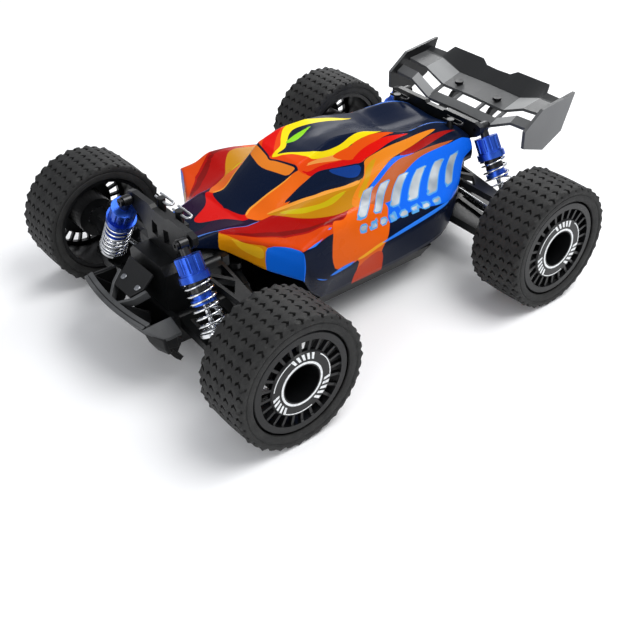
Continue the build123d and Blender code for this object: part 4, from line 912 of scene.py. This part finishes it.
def guard_skin(stations):
    """The scooped wall: an outer and an inner sheet, closed round their rim."""
    outer = np.array([from_back(*[(x, y, z) for x, z in bumper_section(y)]) for y in stations])
    inner = outer + np.array([-2.0, 0, 1.4])
    rows, count = outer.shape[:2]
    total = rows * count
    skin = grid_faces(rows, count)
    faces = skin + [tuple(total + k for k in reversed(f)) for f in skin]
    rim = ([i * count for i in range(rows)] + [(rows - 1) * count + j for j in range(1, count)]
           + [i * count + count - 1 for i in range(rows - 2, -1, -1)]
           + list(range(count - 2, 0, -1)))
    for a, b in zip(rim, rim[1:] + rim[:1]):
        faces.append((b, a, total + a, total + b))
    return np.concatenate([outer.reshape(-1, 3), inner.reshape(-1, 3)]), faces


def guard_webs():
    """An upright web at the middle and at each end of the scoop."""
    for y in (-30.0, -1.2, 27.6):
        web = from_back(*[(x - 1.0, y, z + 0.8) for x, z in bumper_section(y)[1:]])
        top = web.copy()
        top[:, 0] -= np.linspace(5.0, 3.4, len(web))
        top[:, 2] += np.linspace(9.0, 0.6, len(web))
        yield strap(web, top, 2.4, (0, 1, 0)), RIM if y == -1.2 else BLACK


def guard_side(side):
    """One end of the guard: its flank, its turned-down edge and the cheek inside it."""
    mirror = (1, side, 1)
    flank = from_back((13, 31, 26.0), (15, 31, 29.5), (17.5, 31, 34.0), (20.0, 31, 41.5))
    tip = from_back((8.5, 36.6, 25.0), (10.5, 38.0, 26.0), (12.0, 38.2, 29.5), (12.5, 37.2, 35.5))
    yield strap(flank * mirror, tip * mirror, 2.0, (-0.9, 0, 0.44)), BLACK
    edge = from_back((3, 30.6, 43.2), (12, 30.8, 43.2), (20.5, 31, 42.8))
    outward = edge + np.array([(-2, 6.5, -7.5), (-3, 7.0, -7.0), (-8.5, 6.0, -6.6)])
    yield strap(edge * mirror, outward * mirror, 1.8, (0, 0, -1)), RIM
    cheek = from_back((0.5, 29.4, 22.0), (8.0, 29.4, 24.0), (17, 29.4, 41.0))
    high = cheek + np.array([(0.5, 0, 20.0), (3.0, 0, 18.0), (0.5, 0, 1.5)])
    yield strap(cheek * mirror, high * mirror, 1.8 * side, (0, 1, 0)), BLACK


def guard_brace():
    """The sloping plate back to the gear case, and the leg on each side of it."""
    plate = from_back((13.5, 0, 47.4), (7.0, 0, 51.0), (0.5, 0, 58.4))
    half = np.array([7.5, 11.0, 12.0])[:, None] * (0, 1, 0)
    yield strap(plate - half, plate + half, 1.8, BRACE_FACE), BLACK
    for side in (1, -1):
        leg = from_back((21.0, side * 0.6, 43.4), (13.0, side * 9.0, 47.6), (6.5, side * 12.5, 51.4))
        yield strap(leg, leg + np.array([0, side * 2.2, 0]), 5.0, BRACE_FACE), RIM


def bumper():
    """Scooped guard with a turned lip, webs, side wings and the brace to the gear case."""
    stations = np.linspace(-GUARD_HALF, GUARD_HALF, 13)
    lip = from_back(*[(bumper_section(y)[-1][0], y, GUARD_TOP) for y in stations])
    parts = [(guard_skin(stations), BLACK),
             (strap(lip + (-5.0, 0, 0.4), lip + (0.0, 0, -0.8), 1.6, (0, 0, 1)), RIM),
             *guard_webs(), *guard_side(1), *guard_side(-1), *guard_brace()]
    points, faces, tones = [], [], []
    for (own, own_faces), tone in parts:
        faces += [tuple(len(points) + k for k in f) for f in own_faces]
        tones += [tone] * len(own_faces)
        points += list(own)
    made = piece("nose_guard", points, faces,
                 [MATERIALS["floor_plastic"], moulded("guard_rim", "3c3d3e", "525354", 0.34)],
                 "root", tones)
    sharpen(made, 30)
    soft = made.modifiers.new("soft_edges", "BEVEL")
    soft.width = 0.35 * MM
    soft.segments = 2
    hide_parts("front_bumper")


def guard_bolts():
    """Two low bolt heads on the brace."""
    sides = 16
    points, faces = [], []
    for y in (-7.0, 7.0):
        faces += [tuple(len(points) + k for k in reversed(f)) for f in tube_faces(3, sides)]
        for radius, rise in ((1.9, 0.0), (1.9, 0.9), (1.3, 1.3)):
            middle = from_back((7.6, y, 49.8))[0] - rise * np.array(BRACE_FACE) * (1, 0, 1)
            for t in np.arange(sides) * 2 * math.pi / sides:
                points.append(middle + radius * np.array([0.92 * math.cos(t), math.sin(t),
                                                          -0.4 * math.cos(t)]))
    made = piece("guard_bolts", points, faces, [metal("dark_bolt", "77797c", "a2a4a8", 0.3)],
                 "root")
    sharpen(made, 30)


# ---- carried-over CAD nodes -----------------------------------------------------------------
def finish_of(name, slot):
    """A CAD node's material: its slot's, but for the dampers and the fasteners."""
    if name.endswith("_shock_body"):
        return damper_finish(name.removesuffix("_shock_body"))
    if name == "fasteners":
        return fastener_finish()
    return MATERIALS.get(slot, MATERIALS["floor_plastic"])


def finish_nodes():
    """Every CAD node gets a node material."""
    slot_of = {row["node"]: row["material_slot"] for row in frame["record"]["subparts"]}
    for name, node in frame["nodes"].items():
        material = finish_of(name, slot_of[name])
        for slot in node.material_slots:
            slot.material = material


camera()
studio()
body_shell()
tyres()
rim_marks()
springs()
bumper()
guard_bolts()
finish_nodes()
